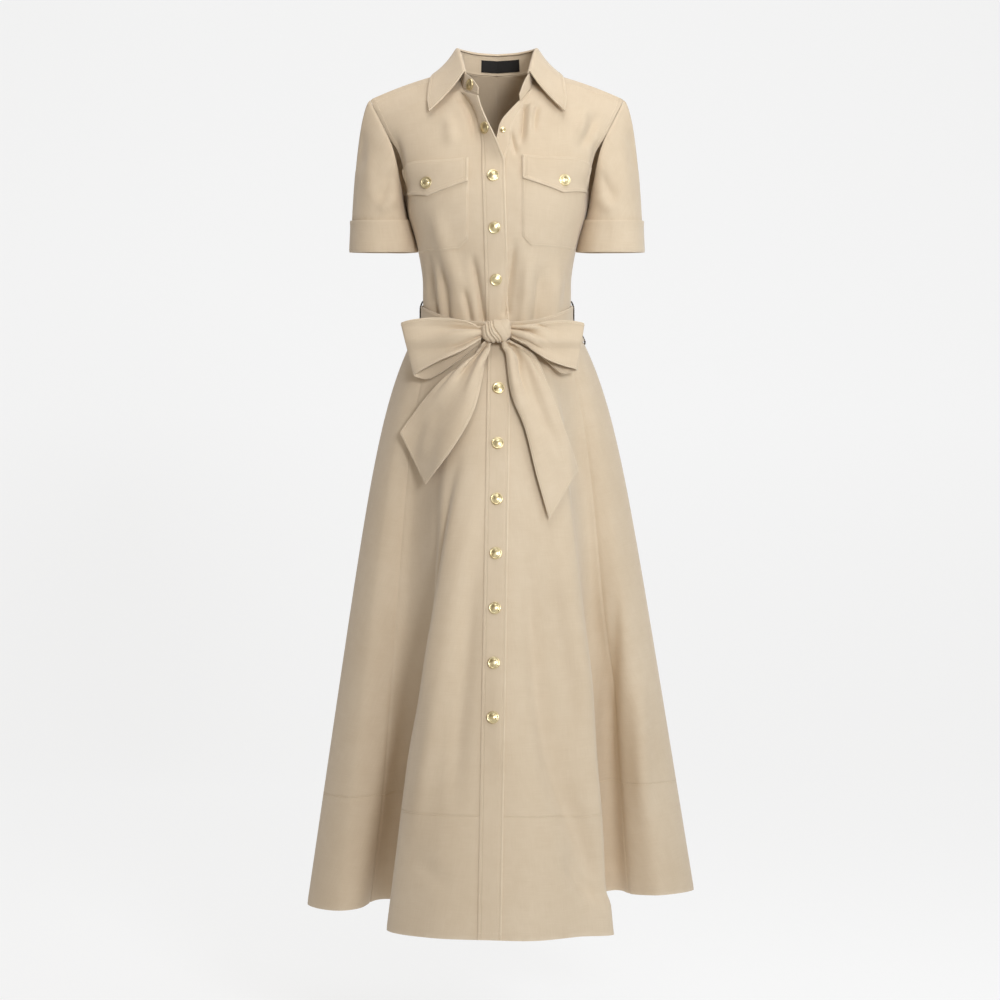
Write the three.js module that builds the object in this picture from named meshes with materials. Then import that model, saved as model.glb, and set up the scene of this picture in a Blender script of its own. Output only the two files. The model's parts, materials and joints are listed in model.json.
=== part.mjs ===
// A belted midi shirt dress in cotton twill, standing in the shape it has when it is worn.
//
// Millimetres, +Z up, the front faces -Y, and the wearer's right is -X. The origin is between the two high
// points of the shoulders, at the base of the neck. Cloth is built as walls: a surface worked out from sizes,
// given a thickness along its own normals. Pieces that meet at a seam stop a fraction of a millimetre apart.
import * as THREE from "three";

// Driving dimensions
const CLOTH = 1.4; // thickness of one layer of twill
const DOUBLED = 2.2; // thickness of a faced or folded piece
const SEAM_GAP = 0.3; // between two pieces at a seam
const LAYER_GAP = 0.6; // between a piece and the panel that it lies on
const WAIST = { halfWidth: 107, front: 92, back: 80, height: -367, dip: 15 };
const HEM_HEIGHT = -1222;
const PLACKET_WIDTH = 33;
const PLACKET_OVERLAP = 5.5; // how far the panel runs on under the placket
const CUFF_HEIGHT = 46;

const COLOURS = {
  twill: { color: 0xd0b48c, roughness: 0.85, metalness: 0 },
  brass: { color: 0xd2ad55, roughness: 0.3, metalness: 1 },
  label: { color: 0x15130f, roughness: 0.7, metalness: 0 },
  thread: { color: 0x2a1f15, roughness: 0.8, metalness: 0 },
};

// Small helpers
const lerp = THREE.MathUtils.lerp;
const rad = THREE.MathUtils.degToRad;
const vec = (x, y, z) => new THREE.Vector3(x, y, z);
const mix = (a, b, t) => a.clone().lerp(b, t);
const steps = (n, from = 0, to = 1) => Array.from({ length: n + 1 }, (_, i) => lerp(from, to, i / n));
const smooth = (t) => THREE.MathUtils.smoothstep(t, 0, 1);
const hump = (t) => Math.exp(-t * t);

function cubic(p0, p1, p2, p3, t) {
  const a = 2 * p1;
  const b = p2 - p0;
  const c = 2 * p0 - 5 * p1 + 4 * p2 - p3;
  const d = 3 * p1 - p0 - 3 * p2 + p3;
  return 0.5 * (a + b * t + c * t * t + d * t * t * t);
}

// A column of a table as a smooth function of the table's first column.
function column(rows, key, by) {
  const at = rows.map((row) => row[by]);
  const values = rows.map((row) => row[key]);
  const slopes = values.map((_, i) => {
    const a = Math.max(i - 1, 0);
    const b = Math.min(i + 1, values.length - 1);
    return (values[b] - values[a]) / (at[b] - at[a]);
  });
  return (t) => {
    const x = THREE.MathUtils.clamp(t, at[0], at[at.length - 1]);
    let i = at.findIndex((a) => a > x) - 1;
    if (i < 0) i = at.length - 2;
    const h = at[i + 1] - at[i];
    const s = (x - at[i]) / h;
    const rise = values[i + 1] - values[i];
    const bend = s * (1 - s);
    return values[i] + rise * s + bend * ((h * slopes[i] - rise) * (1 - s) - (h * slopes[i + 1] - rise) * s);
  };
}

function columns(rows, by, keys) {
  const found = Object.fromEntries(keys.map((key) => [key, column(rows, key, by)]));
  return (t) => Object.fromEntries(keys.map((key) => [key, found[key](t)]));
}

function curveOf(rows, by) {
  const at = columns(rows, by, ["x", "y", "z"]);
  return (t) => {
    const p = at(t);
    return vec(p.x, p.y, p.z);
  };
}

// The parameter at which a function of one number first reaches a value, between two limits.
function solve(f, value, low, high) {
  let a = low;
  let b = high;
  const rising = f(high) > f(low);
  for (let i = 0; i < 40; i++) {
    const m = (a + b) / 2;
    if (f(m) < value === rising) a = m;
    else b = m;
  }
  return (a + b) / 2;
}

// The outward normal of a surface at a place on it.
function normalAt(surface, u, v, outward) {
  const e = 1e-3;
  const du = surface(u + e, v).sub(surface(u - e, v));
  const dv = surface(u, v + e).sub(surface(u, v - e));
  const n = du.cross(dv).normalize();
  return n.dot(outward(surface(u, v))) < 0 ? n.negate() : n;
}

const fromAxis = (p) => vec(p.x, p.y, 0);

// A grid of points on a surface. Edges named in trim move in by that many millimetres.
function gridOf(surface, us, vs, trim = {}) {
  const grid = vs.map((v) => us.map((u) => surface(u, v)));
  const pull = (p, q, by) => p.add(q.clone().sub(p).setLength(by));
  const last = us.length - 1;
  const top = vs.length - 1;
  if (trim.left) grid.forEach((row) => pull(row[0], row[1], trim.left));
  if (trim.right) grid.forEach((row) => pull(row[last], row[last - 1], trim.right));
  if (trim.start) us.forEach((_, i) => pull(grid[0][i], grid[1][i], trim.start));
  if (trim.end) us.forEach((_, i) => pull(grid[top][i], grid[top - 1][i], trim.end));
  return grid;
}

// A closed wall over one or more grids of points, which are welded where they meet. It reaches from the
// offset "inner" to the offset "outer" along the normals, which face the way that "outward" says. "settle"
// turns the normals along a seam, so that two pieces that meet there end face to face.
function wall(grids, inner, outer, { outward = fromAxis, closed = false, settle } = {}) {
  const known = new Map();
  const points = [];
  const quads = [];
  const vertex = (p) => {
    const key = [p.x, p.y, p.z].map((c) => Math.round(c * 50)).join();
    if (!known.has(key)) known.set(key, points.push(p) - 1);
    return known.get(key);
  };
  for (const grid of grids) {
    const ids = grid.map((row) => row.map(vertex));
    const found = [];
    let facing = 0;
    for (let j = 0; j + 1 < grid.length; j++) {
      const cells = closed ? grid[0].length : grid[0].length - 1;
      for (let i = 0; i < cells; i++) {
        const k = (i + 1) % grid[0].length;
        const quad = [ids[j][i], ids[j][k], ids[j + 1][k], ids[j + 1][i]];
        const n = faceNormal(points, quad);
        const middle = points[quad[0]].clone().add(points[quad[2]]).multiplyScalar(0.5);
        facing += n.dot(outward(middle));
        found.push(quad);
      }
    }
    quads.push(...(facing < 0 ? found.map((q) => q.reverse()) : found));
  }
  const normals = points.map(() => vec(0, 0, 0));
  for (const quad of quads) {
    const n = faceNormal(points, quad);
    quad.forEach((i) => normals[i].add(n));
  }
  if (settle) points.forEach((p, i) => settle(p, normals[i]));
  normals.forEach((n) => n.normalize());
  const count = points.length;
  const position = [];
  for (const offset of [outer, inner]) {
    points.forEach((p, i) => position.push(...p.clone().addScaledVector(normals[i], offset).toArray()));
  }
  const faces = [];
  const rim = new Map();
  for (const [a, b, c, d] of quads) {
    faces.push(a, b, c, a, c, d);
    faces.push(count + a, count + c, count + b, count + a, count + d, count + c);
    for (const [from, to] of [[a, b], [b, c], [c, d], [d, a]]) {
      if (rim.has(to + "," + from)) rim.delete(to + "," + from);
      else rim.set(from + "," + to, [from, to]);
    }
  }
  for (const [from, to] of rim.values()) {
    faces.push(from, count + to, to, from, count + from, count + to);
  }
  const geometry = new THREE.BufferGeometry();
  geometry.setAttribute("position", new THREE.Float32BufferAttribute(position, 3));
  geometry.setIndex(faces);
  geometry.computeVertexNormals();
  return geometry;
}

function faceNormal(points, [a, b, c, d]) {
  const across = points[c].clone().sub(points[a]);
  return across.cross(points[d].clone().sub(points[b]));
}

const dress = new THREE.Group();
dress.name = "shirt_dress";

function add(name, geometry, finish = "twill") {
  const mesh = new THREE.Mesh(geometry, new THREE.MeshStandardMaterial(COLOURS[finish]));
  mesh.name = name;
  dress.add(mesh);
  return mesh;
}

// The wearer's sides: -1 is the right, +1 is the left.
const SIDES = [
  { side: -1, word: "right" },
  { side: 1, word: "left" },
];

// A point made for the wearer's left, put on one side.
const place = (p, side) => vec(side * p.x, p.y, p.z);

// Powers that flatten the front, back and sides of each section of the body.
const SQUARENESS = { x: 0.9, y: 0.84 };
const power = (x, p) => Math.sign(x) * Math.abs(x) ** p;

// The waist seam: angles run from centre front towards the wearer's right.
function waistPoint(angle) {
  const deep = Math.cos(angle) > 0 ? WAIST.front : WAIST.back;
  const x = -WAIST.halfWidth * power(Math.sin(angle), SQUARENESS.x);
  return vec(x, -deep * power(Math.cos(angle), SQUARENESS.y), waistHeight(angle));
}

function waistHeight(angle) {
  return WAIST.height - WAIST.dip * Math.cos(angle);
}

// Side seams end flat towards front and back, and the waist seam ends flat up and down.
function settleSeams(p, n) {
  const deep = p.y < 0 ? WAIST.front : WAIST.back;
  const turn = power(THREE.MathUtils.clamp(-p.y / deep, -1, 1), 1 / SQUARENESS.y);
  if (Math.abs(p.y) < 0.3) n.y = 0;
  if (Math.abs(p.z - WAIST.height + WAIST.dip * turn) < 1.2) n.z = 0;
}

// Bodice: the neckline from the front corner of the collar stand (0) to centre back (1), wearer's left half
const NECKLINE = [
  { at: 0.0, x: 47, y: -62, z: -40 },
  { at: 0.14, x: 51, y: -42, z: -23 },
  { at: 0.28, x: 55, y: -22, z: -8 },
  { at: 0.42, x: 58, y: -2, z: -1 },
  { at: 0.56, x: 57, y: 18, z: 1 },
  { at: 0.7, x: 49, y: 38, z: 2 },
  { at: 0.85, x: 29, y: 54, z: 1 },
  { at: 1.0, x: 0, y: 60, z: 0 },
];
const SHOULDER_SEAM = 0.28; // where the shoulder seam meets the neckline
const neckline = curveOf(NECKLINE, "at");

// Side seam, then the front edge of the armhole, up to the end of the shoulder seam
const UNDERARM = 0.57;
const FRONT_SIDE = [
  { v: 0.0, x: 107, y: 0, z: -367 },
  { v: 0.1, x: 107, y: 0, z: -335 },
  { v: 0.22, x: 108, y: 0, z: -300 },
  { v: 0.36, x: 117, y: 0, z: -250 },
  { v: 0.5, x: 131, y: 0, z: -205 },
  { v: UNDERARM, x: 135.5, y: 0, z: -188 },
  { v: 0.65, x: 138, y: -34, z: -174 },
  { v: 0.74, x: 143, y: -50, z: -146 },
  { v: 0.83, x: 152, y: -48, z: -114 },
  { v: 0.92, x: 169, y: -32, z: -78 },
  { v: 1.0, x: 184, y: -14, z: -47 },
];
const BACK_SIDE = [
  ...FRONT_SIDE.slice(0, 6),
  { v: 0.65, x: 140, y: 36, z: -174 },
  { v: 0.74, x: 148, y: 50, z: -142 },
  { v: 0.83, x: 159, y: 46, z: -106 },
  { v: 0.91, x: 175, y: 26, z: -66 },
  { v: 0.96, x: 184.5, y: 4, z: -45 },
  { v: 1.0, x: 184, y: -14, z: -47 },
];

// Centre-front edge up to the collar: depth, and how far each front's edge is out from the middle
const COLLAR_CORNER = 0.92;
const FRONT_EDGE = [
  { v: 0.0, z: -382, y: -91.5, right: 10, left: -9, facing: 24 },
  { v: 0.1, z: -346, y: -96, right: 11, left: -10, facing: 24 },
  { v: 0.22, z: -302, y: -104, right: 12, left: -11, facing: 24 },
  { v: 0.36, z: -250, y: -115, right: 13.5, left: -12.5, facing: 24 },
  { v: 0.5, z: -200, y: -120, right: 15, left: -14, facing: 24 },
  { v: 0.58, z: -170, y: -117, right: 16, left: -15, facing: 24 },
  { v: 0.66, z: -142, y: -110, right: 16.5, left: -11, facing: 23 },
  { v: 0.74, z: -114, y: -101, right: 17, left: -1, facing: 21 },
  { v: 0.81, z: -88, y: -91, right: 23, left: 6, facing: 17 },
  { v: 0.87, z: -64, y: -79, right: 33, left: 25, facing: 10 },
  { v: COLLAR_CORNER, z: -40, y: -62, right: 47, left: 47, facing: 2 },
];
const NAPE = 0.86;
const BACK_EDGE = [
  { v: 0.0, z: -352, y: 80 },
  { v: 0.15, z: -295, y: 84 },
  { v: 0.35, z: -222, y: 96 },
  { v: 0.5, z: -165, y: 103 },
  { v: 0.62, z: -112, y: 104 },
  { v: 0.74, z: -58, y: 94 },
  { v: NAPE, z: 0, y: 60 },
];

// How round each row of the bodice is: 1 wraps round the body, 0 is a straight line
const ROUNDNESS = [
  { v: 0.0, round: 1 },
  { v: 0.58, round: 1 },
  { v: 0.72, round: 0.9 },
  { v: 0.84, round: 0.6 },
  { v: 1.0, round: 0.15 },
];

// Soft folds that rise from the belted waist: place across the panel, depth, width, and how high they reach
const WAIST_FOLDS = [
  { u: 0.16, depth: -3.4, wide: 0.05, high: 0.3 },
  { u: 0.3, depth: 3.8, wide: 0.07, high: 0.46 },
  { u: 0.42, depth: -3.6, wide: 0.05, high: 0.34 },
  { u: 0.55, depth: 3.4, wide: 0.06, high: 0.42 },
  { u: 0.7, depth: -3.2, wide: 0.05, high: 0.3 },
  { u: 0.84, depth: 2.6, wide: 0.05, high: 0.26 },
];

const frontSide = (v) => curveOf(FRONT_SIDE, "v")(v).min(vec(Infinity, 0, Infinity));
const backSide = (v) => curveOf(BACK_SIDE, "v")(v).max(vec(-Infinity, 0, -Infinity));
const frontEdge = columns(FRONT_EDGE, "v", ["z", "y", "right", "left", "facing"]);
const backEdge = columns(BACK_EDGE, "v", ["z", "y"]);
const roundness = column(ROUNDNESS, "round", "v");

function frontInner(v, word) {
  if (v > COLLAR_CORNER) return neckline((SHOULDER_SEAM * (v - COLLAR_CORNER)) / (1 - COLLAR_CORNER));
  const edge = frontEdge(v);
  return vec(edge[word], edge.y, edge.z);
}

function backInner(v) {
  if (v > NAPE) return neckline(lerp(1, SHOULDER_SEAM, (v - NAPE) / (1 - NAPE)));
  const edge = backEdge(v);
  return vec(0, edge.y, edge.z);
}

// A row of the bodice from its inner edge to its outer one: part of a squared-off ellipse round the body.
function bodiceRow(from, to, u, round) {
  const start = Math.asin(power(THREE.MathUtils.clamp(from.x / to.x, -1, 1), 1 / SQUARENESS.x));
  const angle = lerp(start, Math.PI / 2, u);
  const deep = power(Math.cos(angle), SQUARENESS.y) / power(Math.cos(start), SQUARENESS.y);
  const z = lerp(to.z, from.z, Math.cos(angle) / Math.cos(start));
  const curved = vec(to.x * power(Math.sin(angle), SQUARENESS.x), lerp(to.y, from.y, deep), z);
  return mix(mix(from, to, u), curved, round);
}

function waistFold(u, v) {
  let out = 0;
  for (const fold of WAIST_FOLDS) {
    out += fold.depth * hump((u - fold.u) / fold.wide) * smooth(1 - v / fold.high) * smooth(v / 0.12 - 0.35);
  }
  return out;
}

// The bust of a general figure: a broad, low fullness on each front.
const BUST = { u: 0.5, v: 0.47, wide: 0.34, high: 0.16, out: 7 };

function frontSurface(side, word) {
  return (u, v) => {
    const p = bodiceRow(frontInner(v, word), frontSide(v), u, roundness(v));
    const full = BUST.out * hump((u - BUST.u) / BUST.wide) * hump((v - BUST.v) / BUST.high);
    const out = full + waistFold(u, v);
    const away = vec(p.x * 0.6, p.y, 0).setLength(out === 0 ? 1e-9 : Math.abs(out));
    return place(out < 0 ? p.sub(away) : p.add(away), side);
  };
}

function backSurface(side) {
  return (u, v) => {
    const p = bodiceRow(backInner(v), backSide(v), u, roundness(v));
    const out = 0.8 * waistFold(u, v);
    const away = vec(p.x * 0.6, p.y, 0).setLength(out === 0 ? 1e-9 : Math.abs(out));
    return place(out < 0 ? p.sub(away) : p.add(away), side);
  };
}

const FRONT_ROWS = [0, 0.07, 0.15, 0.24, 0.33, 0.42, 0.5, UNDERARM, 0.65, 0.73, 0.81, 0.87, 0.92, 0.96, 1];
const BACK_ROWS = [0, 0.07, 0.15, 0.24, 0.33, 0.42, 0.5, UNDERARM, 0.66, 0.76, NAPE, 0.91, 0.96, 1];
const upAndOut = (p) => vec(p.x, p.y, Math.max(0, p.z + 200));
const fronts = Object.fromEntries(SIDES.map(({ side, word }) => [word, frontSurface(side, word)]));

// The place in a row of a front that is a given distance along the cloth from where it starts.
function alongFront(word, v, from, distance) {
  const surface = fronts[word];
  const step = 0.01;
  let walked = 0;
  for (let u = from; u < 1; u += step) {
    const length = surface(u, v).distanceTo(surface(u + step, v));
    if (walked + length >= distance) return u + (step * (distance - walked)) / length;
    walked += length;
  }
  return 1;
}

// The left front starts at the seam of the under placket, which fills its row from there to its free edge.
const facingSeam = (v) => (v <= COLLAR_CORNER ? alongFront("left", v, 0, frontEdge(v).facing) : 0);

function makeBodice() {
  const trim = { right: SEAM_GAP / 2, start: SEAM_GAP / 2, end: SEAM_GAP / 2 };
  const shape = { outward: upAndOut, settle: settleSeams };
  const left = (u, v) => fronts.left(lerp(facingSeam(v), 1, u), v);
  const under = (w, v) => fronts.left(facingSeam(v) * w, v);
  add("bodice_front_right", wall([gridOf(fronts.right, steps(12), FRONT_ROWS, trim)], 0, CLOTH, shape));
  const leftTrim = { ...trim, left: SEAM_GAP };
  add("bodice_front_left", wall([gridOf(left, steps(12), FRONT_ROWS, leftTrim)], 0, CLOTH, shape));
  const rows = FRONT_ROWS.filter((v) => v <= COLLAR_CORNER);
  add("placket_under", wall([gridOf(under, steps(3), rows, { start: SEAM_GAP / 2 })], 0, CLOTH, shape));
  const halves = SIDES.map(({ side }) => gridOf(backSurface(side), steps(9), BACK_ROWS, trim));
  // The halves are one piece of cloth: they share their points on the centre-back line.
  BACK_ROWS.forEach((v, j) => {
    if (v <= NAPE) halves[1][j][0] = halves[0][j][0];
  });
  add("bodice_back", wall(halves, 0, CLOTH, shape));
}

// Sleeves: from the armhole down to a ring below the arm, all in the wearer's left half
const SLEEVE_END = { x: 168.5, y: 0, z: -267, halfWidth: 44.5, halfDepth: 56, tilt: 5 };

// The armhole, from the end of the shoulder seam round the front (0 to 0.5) and up the back (0.5 to 1)
function armhole(q) {
  const front = q <= 0.5;
  const t = front ? q * 2 : 2 - q * 2;
  return (front ? frontSide : backSide)(lerp(1, UNDERARM, t));
}

function sleeveSurface(side) {
  return (q, t) => {
    const turn = 2 * Math.PI * q;
    const under = (1 - Math.cos(turn)) / 2; // 0 at the shoulder, 1 under the arm
    const from = armhole(((q % 1) + 1) % 1).add(vec(1.2 + 2.8 * under ** 2, 0, 0));
    const y = SLEEVE_END.y - SLEEVE_END.halfDepth * Math.sin(turn + 0.1 * (1 - under));
    const x = SLEEVE_END.x + SLEEVE_END.halfWidth * Math.cos(turn);
    const to = vec(x, y, SLEEVE_END.z + (SLEEVE_END.tilt * y) / SLEEVE_END.halfDepth);
    const leave = from.clone().add(vec(3 + 15 * (1 - under), 0.1 * from.y, -6 - 20 * (1 - under)));
    const arrive = to.clone().add(vec((from.x - to.x) * 0.1, 0, 0.35 * (from.z - to.z)));
    const curve = new THREE.CubicBezierCurve3(from, leave, arrive, to);
    return place(curve.getPoint(t), side);
  };
}

const SLEEVE_COLUMNS = 22;
const sleeveTurns = steps(SLEEVE_COLUMNS).slice(0, -1);

function fromSleeve(side) {
  return (p) => vec(p.x - side * (SLEEVE_END.x - 8), p.y, 0);
}

function makeSleeves() {
  for (const { side, word } of SIDES) {
    const surface = sleeveSurface(side);
    const grid = gridOf(surface, sleeveTurns, steps(6));
    const shape = { outward: fromSleeve(side), closed: true };
    add(`sleeve_${word}`, wall([grid], 0, CLOTH, shape));
    // The turned-up cuff lies round the end of the sleeve and hides its edge.
    const cuff = (q, t) => {
      const rise = (1 - t) * CUFF_HEIGHT;
      return surface(q, solve((k) => surface(q, k).z, surface(q, 1).z + rise, 0, 1));
    };
    const lower = gridOf(cuff, sleeveTurns, [0, 0.5, 1]);
    const inner = CLOTH + LAYER_GAP;
    add(`cuff_${word}`, wall([lower], inner, inner + DOUBLED, shape));
  }
}

// Collar: s runs from the wearer's right front corner (-1) through centre back (0) to the left one (1). The
// stand runs on past each corner over the end of the placket.
const STAND = { height: 28, frontHeight: 22, endHeight: 13, reach: 1.17 };
const STAND_END = { right: vec(-27, -94, -50), left: vec(33, -77, -57) };
const LEAF_EDGE = [
  { at: 0.0, x: 97, y: -80, z: -72 },
  { at: 0.14, x: 100, y: -58, z: -50 },
  { at: 0.28, x: 97, y: -30, z: -20 },
  { at: 0.42, x: 93, y: 0, z: -7 },
  { at: 0.56, x: 83, y: 34, z: -3 },
  { at: 0.7, x: 68, y: 62, z: -10 },
  { at: 0.85, x: 40, y: 80, z: -17 },
  { at: 1.0, x: 0, y: 86, z: -18 },
];
const leafEdge = curveOf(LEAF_EDGE, "at");

function aroundNeck(curve, s) {
  return place(curve(1 - Math.abs(s)), s < 0 ? -1 : 1);
}

function standSurface(s, h) {
  const past = Math.max(0, (Math.abs(s) - 1) / (STAND.reach - 1));
  const corner = aroundNeck(neckline, THREE.MathUtils.clamp(s, -1, 1));
  const base = mix(corner, s < 0 ? STAND_END.right : STAND_END.left, past);
  const front = lerp(STAND.height, STAND.frontHeight, smooth(Math.abs(s) * 1.6 - 0.6));
  const high = lerp(front, STAND.endHeight, past ** 2);
  const forward = smooth(Math.abs(s) * 3 - 2);
  const up = vec(-base.x * 0.03, -4 * forward - base.y * 0.02, high);
  return base.add(vec(0, 0, CLOTH + LAYER_GAP)).addScaledVector(up, h);
}

function leafSurface(s, k) {
  const from = standSurface(s, 1).add(vec(0, 0, 0.6));
  const to = aroundNeck(leafEdge, s);
  const out = vec(from.x, from.y + 8, 0).normalize();
  const over = from.clone().addScaledVector(out, 3).add(vec(0, 0, 9));
  const down = from.clone().addScaledVector(out, 6).add(vec(0, 0, -13));
  return new THREE.CubicBezierCurve3(from, over, down, to).getPoint(k);
}

const aboveNeck = (p) => vec(p.x, p.y, 20);

function makeCollar() {
  const ss = steps(26, -1, 1);
  const past = [1 + (STAND.reach - 1) / 2, STAND.reach];
  const whole = [...past.map((x) => -x).reverse(), ...ss, ...past];
  add("collar_stand", wall([gridOf(standSurface, whole, [0, 0.5, 1])], 0, CLOTH));
  const leaf = gridOf(leafSurface, ss, [0, 0.12, 0.3, 0.6, 1]);
  add("collar_leaf", wall([leaf], 0, DOUBLED, { outward: aboveNeck }));
  const label = { middle: 0.03, half: 0.15, low: 0.14, high: 0.78 };
  const across = steps(4, label.middle - label.half, label.middle + label.half);
  const inside = gridOf(standSurface, across, [label.low, label.high]);
  add("neck_label", wall([inside], -LAYER_GAP - 0.6, -LAYER_GAP), "label");
}

// Skirt: each line runs down the cloth from the waist, where its angle is given in degrees, to its place at
// the hem. Between them the cloth stands out in rounded folds and falls back into the valleys.
const SKIRT_LINES = [
  { name: "centre front", waist: -1, x: -10, y: -282, lift: -2 },
  { name: "right front round", waist: 9, x: -90, y: -264, lift: -2 },
  { name: "right front ridge", waist: 15, x: -151, y: -204, lift: -2 },
  { name: "right valley mouth", waist: 27, x: -124, y: -118, lift: 3 },
  { name: "right valley", waist: 42, x: -150, y: -26, lift: 3 },
  { name: "right side fold", waist: 60, x: -230, y: -48, lift: -1 },
  { name: "right side", waist: 82, x: -277, y: 4, lift: 0 },
  { name: "right side back", waist: 100, x: -244, y: 62, lift: 5 },
  { name: "right back valley", waist: 117, x: -162, y: 94, lift: 3 },
  { name: "right back ridge", waist: 136, x: -172, y: 200, lift: 0 },
  { name: "right back round", waist: 158, x: -80, y: 252, lift: 0 },
  { name: "back trough", waist: 180, x: 0, y: 232, lift: 0 },
  { name: "left back round", waist: 202, x: 82, y: 254, lift: 0 },
  { name: "left back ridge", waist: 224, x: 172, y: 206, lift: 0 },
  { name: "left back valley", waist: 243, x: 166, y: 118, lift: 5 },
  { name: "left side back", waist: 260, x: 240, y: 104, lift: 14 },
  { name: "left side", waist: 278, x: 291, y: 46, lift: 15 },
  { name: "left side fold", waist: 300, x: 240, y: -14, lift: 16 },
  { name: "left valley", waist: 316, x: 164, y: 10, lift: 12 },
  { name: "left valley mouth", waist: 325, x: 142, y: -104, lift: 5 },
  { name: "left front ridge", waist: 333, x: 167, y: -198, lift: -7 },
  { name: "left front trough", waist: 343, x: 112, y: -238, lift: -5 },
  { name: "left front crest", waist: 352, x: 52, y: -276, lift: -4 },
];
const SIDE_SEAMS = { right: 4.35, left: 17.6 }; // where they come among the lines
const HIP = { spread: 1.42, tuck: 0.296, length: 85 }; // how the skirt rounds out over the hip

function skirtLine(i, s) {
  const line = SKIRT_LINES[(i + SKIRT_LINES.length) % SKIRT_LINES.length];
  const waist = waistPoint(rad(line.waist));
  const drop = s * (WAIST.height - HEM_HEIGHT);
  const tuck = 1 - HIP.tuck * Math.exp(-drop / HIP.length);
  const x = lerp(waist.x * HIP.spread, line.x, s) * tuck;
  const y = lerp(waist.y * HIP.spread, line.y, s) * tuck;
  return vec(x, y, lerp(waist.z - SEAM_GAP, HEM_HEIGHT + line.lift, s));
}

// a counts the lines round the skirt, and s runs from the waist to the hem.
function skirtSurface(a, s) {
  const i = Math.floor(a);
  const t = a - i;
  const [p0, p1, p2, p3] = [-1, 0, 1, 2].map((k) => skirtLine(i + k, s));
  return vec(cubic(p0.x, p1.x, p2.x, p3.x, t), cubic(p0.y, p1.y, p2.y, p3.y, t), cubic(p0.z, p1.z, p2.z, p3.z, t));
}

// The place in a row of the skirt that is a given distance along the cloth from centre front.
function skirtAlong(distance, s) {
  const sign = Math.sign(distance) || 1;
  let walked = 0;
  let last = skirtSurface(0, s);
  for (let a = 0; a < 3; a += 0.02) {
    const next = skirtSurface(sign * (a + 0.02), s);
    const step = next.distanceTo(last);
    if (walked + step >= Math.abs(distance)) {
      return sign * (a + (0.02 * (Math.abs(distance) - walked)) / step);
    }
    walked += step;
    last = next;
  }
  return sign * 3;
}

const SKIRT_ROWS = [0, 0.018, 0.042, 0.08, 0.13, 0.2, 0.31, 0.46, 0.7, 1];
const COUNT = SKIRT_LINES.length;

function makeSkirt() {
  const seam = SEAM_GAP;
  const shape = { settle: settleSeams };
  // Places in a row grow towards the wearer's right, so the right front runs from under the placket.
  const front = (distance, end) => (u, s) => skirtSurface(lerp(skirtAlong(distance, s), end, u), s);
  const right = front(10.5, SIDE_SEAMS.right);
  const left = front(-PLACKET_WIDTH / 2 + 5, SIDE_SEAMS.left - COUNT);
  const across = steps(17);
  const trim = { right: seam, left: SEAM_GAP };
  add("skirt_front_right", wall([gridOf(right, across, SKIRT_ROWS, trim)], 0, CLOTH, shape));
  add("skirt_front_left", wall([gridOf(left, across, SKIRT_ROWS, trim)], 0, CLOTH, shape));
  const back = (u, s) => skirtSurface(lerp(SIDE_SEAMS.right, SIDE_SEAMS.left, u), s);
  const backTrim = { left: seam, right: seam };
  add("skirt_back", wall([gridOf(back, steps(38), SKIRT_ROWS, backTrim)], 0, CLOTH, shape));
  const under = (u, s) => skirtSurface(skirtAlong(lerp(9.5, -PLACKET_WIDTH / 2 + 5, u), s), s);
  add("skirt_placket_under", wall([gridOf(under, steps(2), SKIRT_ROWS, trim)], 0, CLOTH, shape));
}

// Outer placket: a strip on the right front, from the collar to the hem. Below the open neck it lies on the
// left front, and above that its free edge rolls forward.
const OPEN_EDGE = [
  { v: 0.62, x: 11.5, y: -120, z: -156 },
  { v: 0.68, x: 6, y: -121, z: -136 },
  { v: 0.74, x: -2, y: -119, z: -115 },
  { v: 0.81, x: -14, y: -113, z: -90 },
  { v: 0.87, x: -22, y: -104, z: -70 },
  { v: COLLAR_CORNER, x: -27, y: -95, z: -52 },
];
const openEdge = curveOf(OPEN_EDGE, "v");
const onPanel = CLOTH + LAYER_GAP;

function lifted(surface, u, v, by, outward = fromAxis) {
  return surface(u, v).addScaledVector(normalAt(surface, u, v, outward), by);
}

// A place on one of the fronts, found by how far it is out from the middle.
function onFrontAt(word, x, v, by) {
  const u = solve((t) => fronts[word](t, v).x * (word === "left" ? 1 : -1), x, 0, 0.7);
  return lifted(fronts[word], u, v, by);
}

// w runs across the strip from its seam (0) to its free edge (1), and v up the bodice.
function bodicePlacket(w, v) {
  const seamX = -frontEdge(v).right - PLACKET_OVERLAP;
  const x = seamX + w * PLACKET_WIDTH;
  const seam = onFrontAt("right", -seamX, v, onPanel);
  const open = mix(seam, openEdge(v), w);
  const edge = frontEdge(v).left;
  const closed = x > edge ? onFrontAt("left", x, v, onPanel) : onFrontAt("right", -x, v, onPanel);
  return mix(closed, open, smooth((v - 0.6) / 0.1));
}

function skirtPlacket(w, s) {
  const distance = lerp(PLACKET_WIDTH / 2, -PLACKET_WIDTH / 2, w);
  return lifted(skirtSurface, skirtAlong(distance, s), s, onPanel);
}

function makePlacket() {
  const ws = [0, 0.33, 0.67, 1];
  const upper = steps(14, COLLAR_CORNER, 0).map((v) => ws.map((w) => bodicePlacket(w, v)));
  const lower = SKIRT_ROWS.slice(1).map((s) => ws.map((w) => skirtPlacket(w, s)));
  const shape = { outward: (p) => vec(0.2 * p.x, -1, 0), settle: settleSeams };
  add("placket_outer", wall([[...upper, ...lower]], 0, CLOTH, shape));
}

// Chest pockets: places are millimetres across from the inner edge and down from the top of the flap
const POCKET = { width: 112, height: 129, corner: 13 };
const FLAP = { width: 115, end: 35, point: 52 };
const POCKET_PLACE = { right: { inner: 40.5, top: -143 }, left: { inner: 35.7, top: -139 } };

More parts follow.
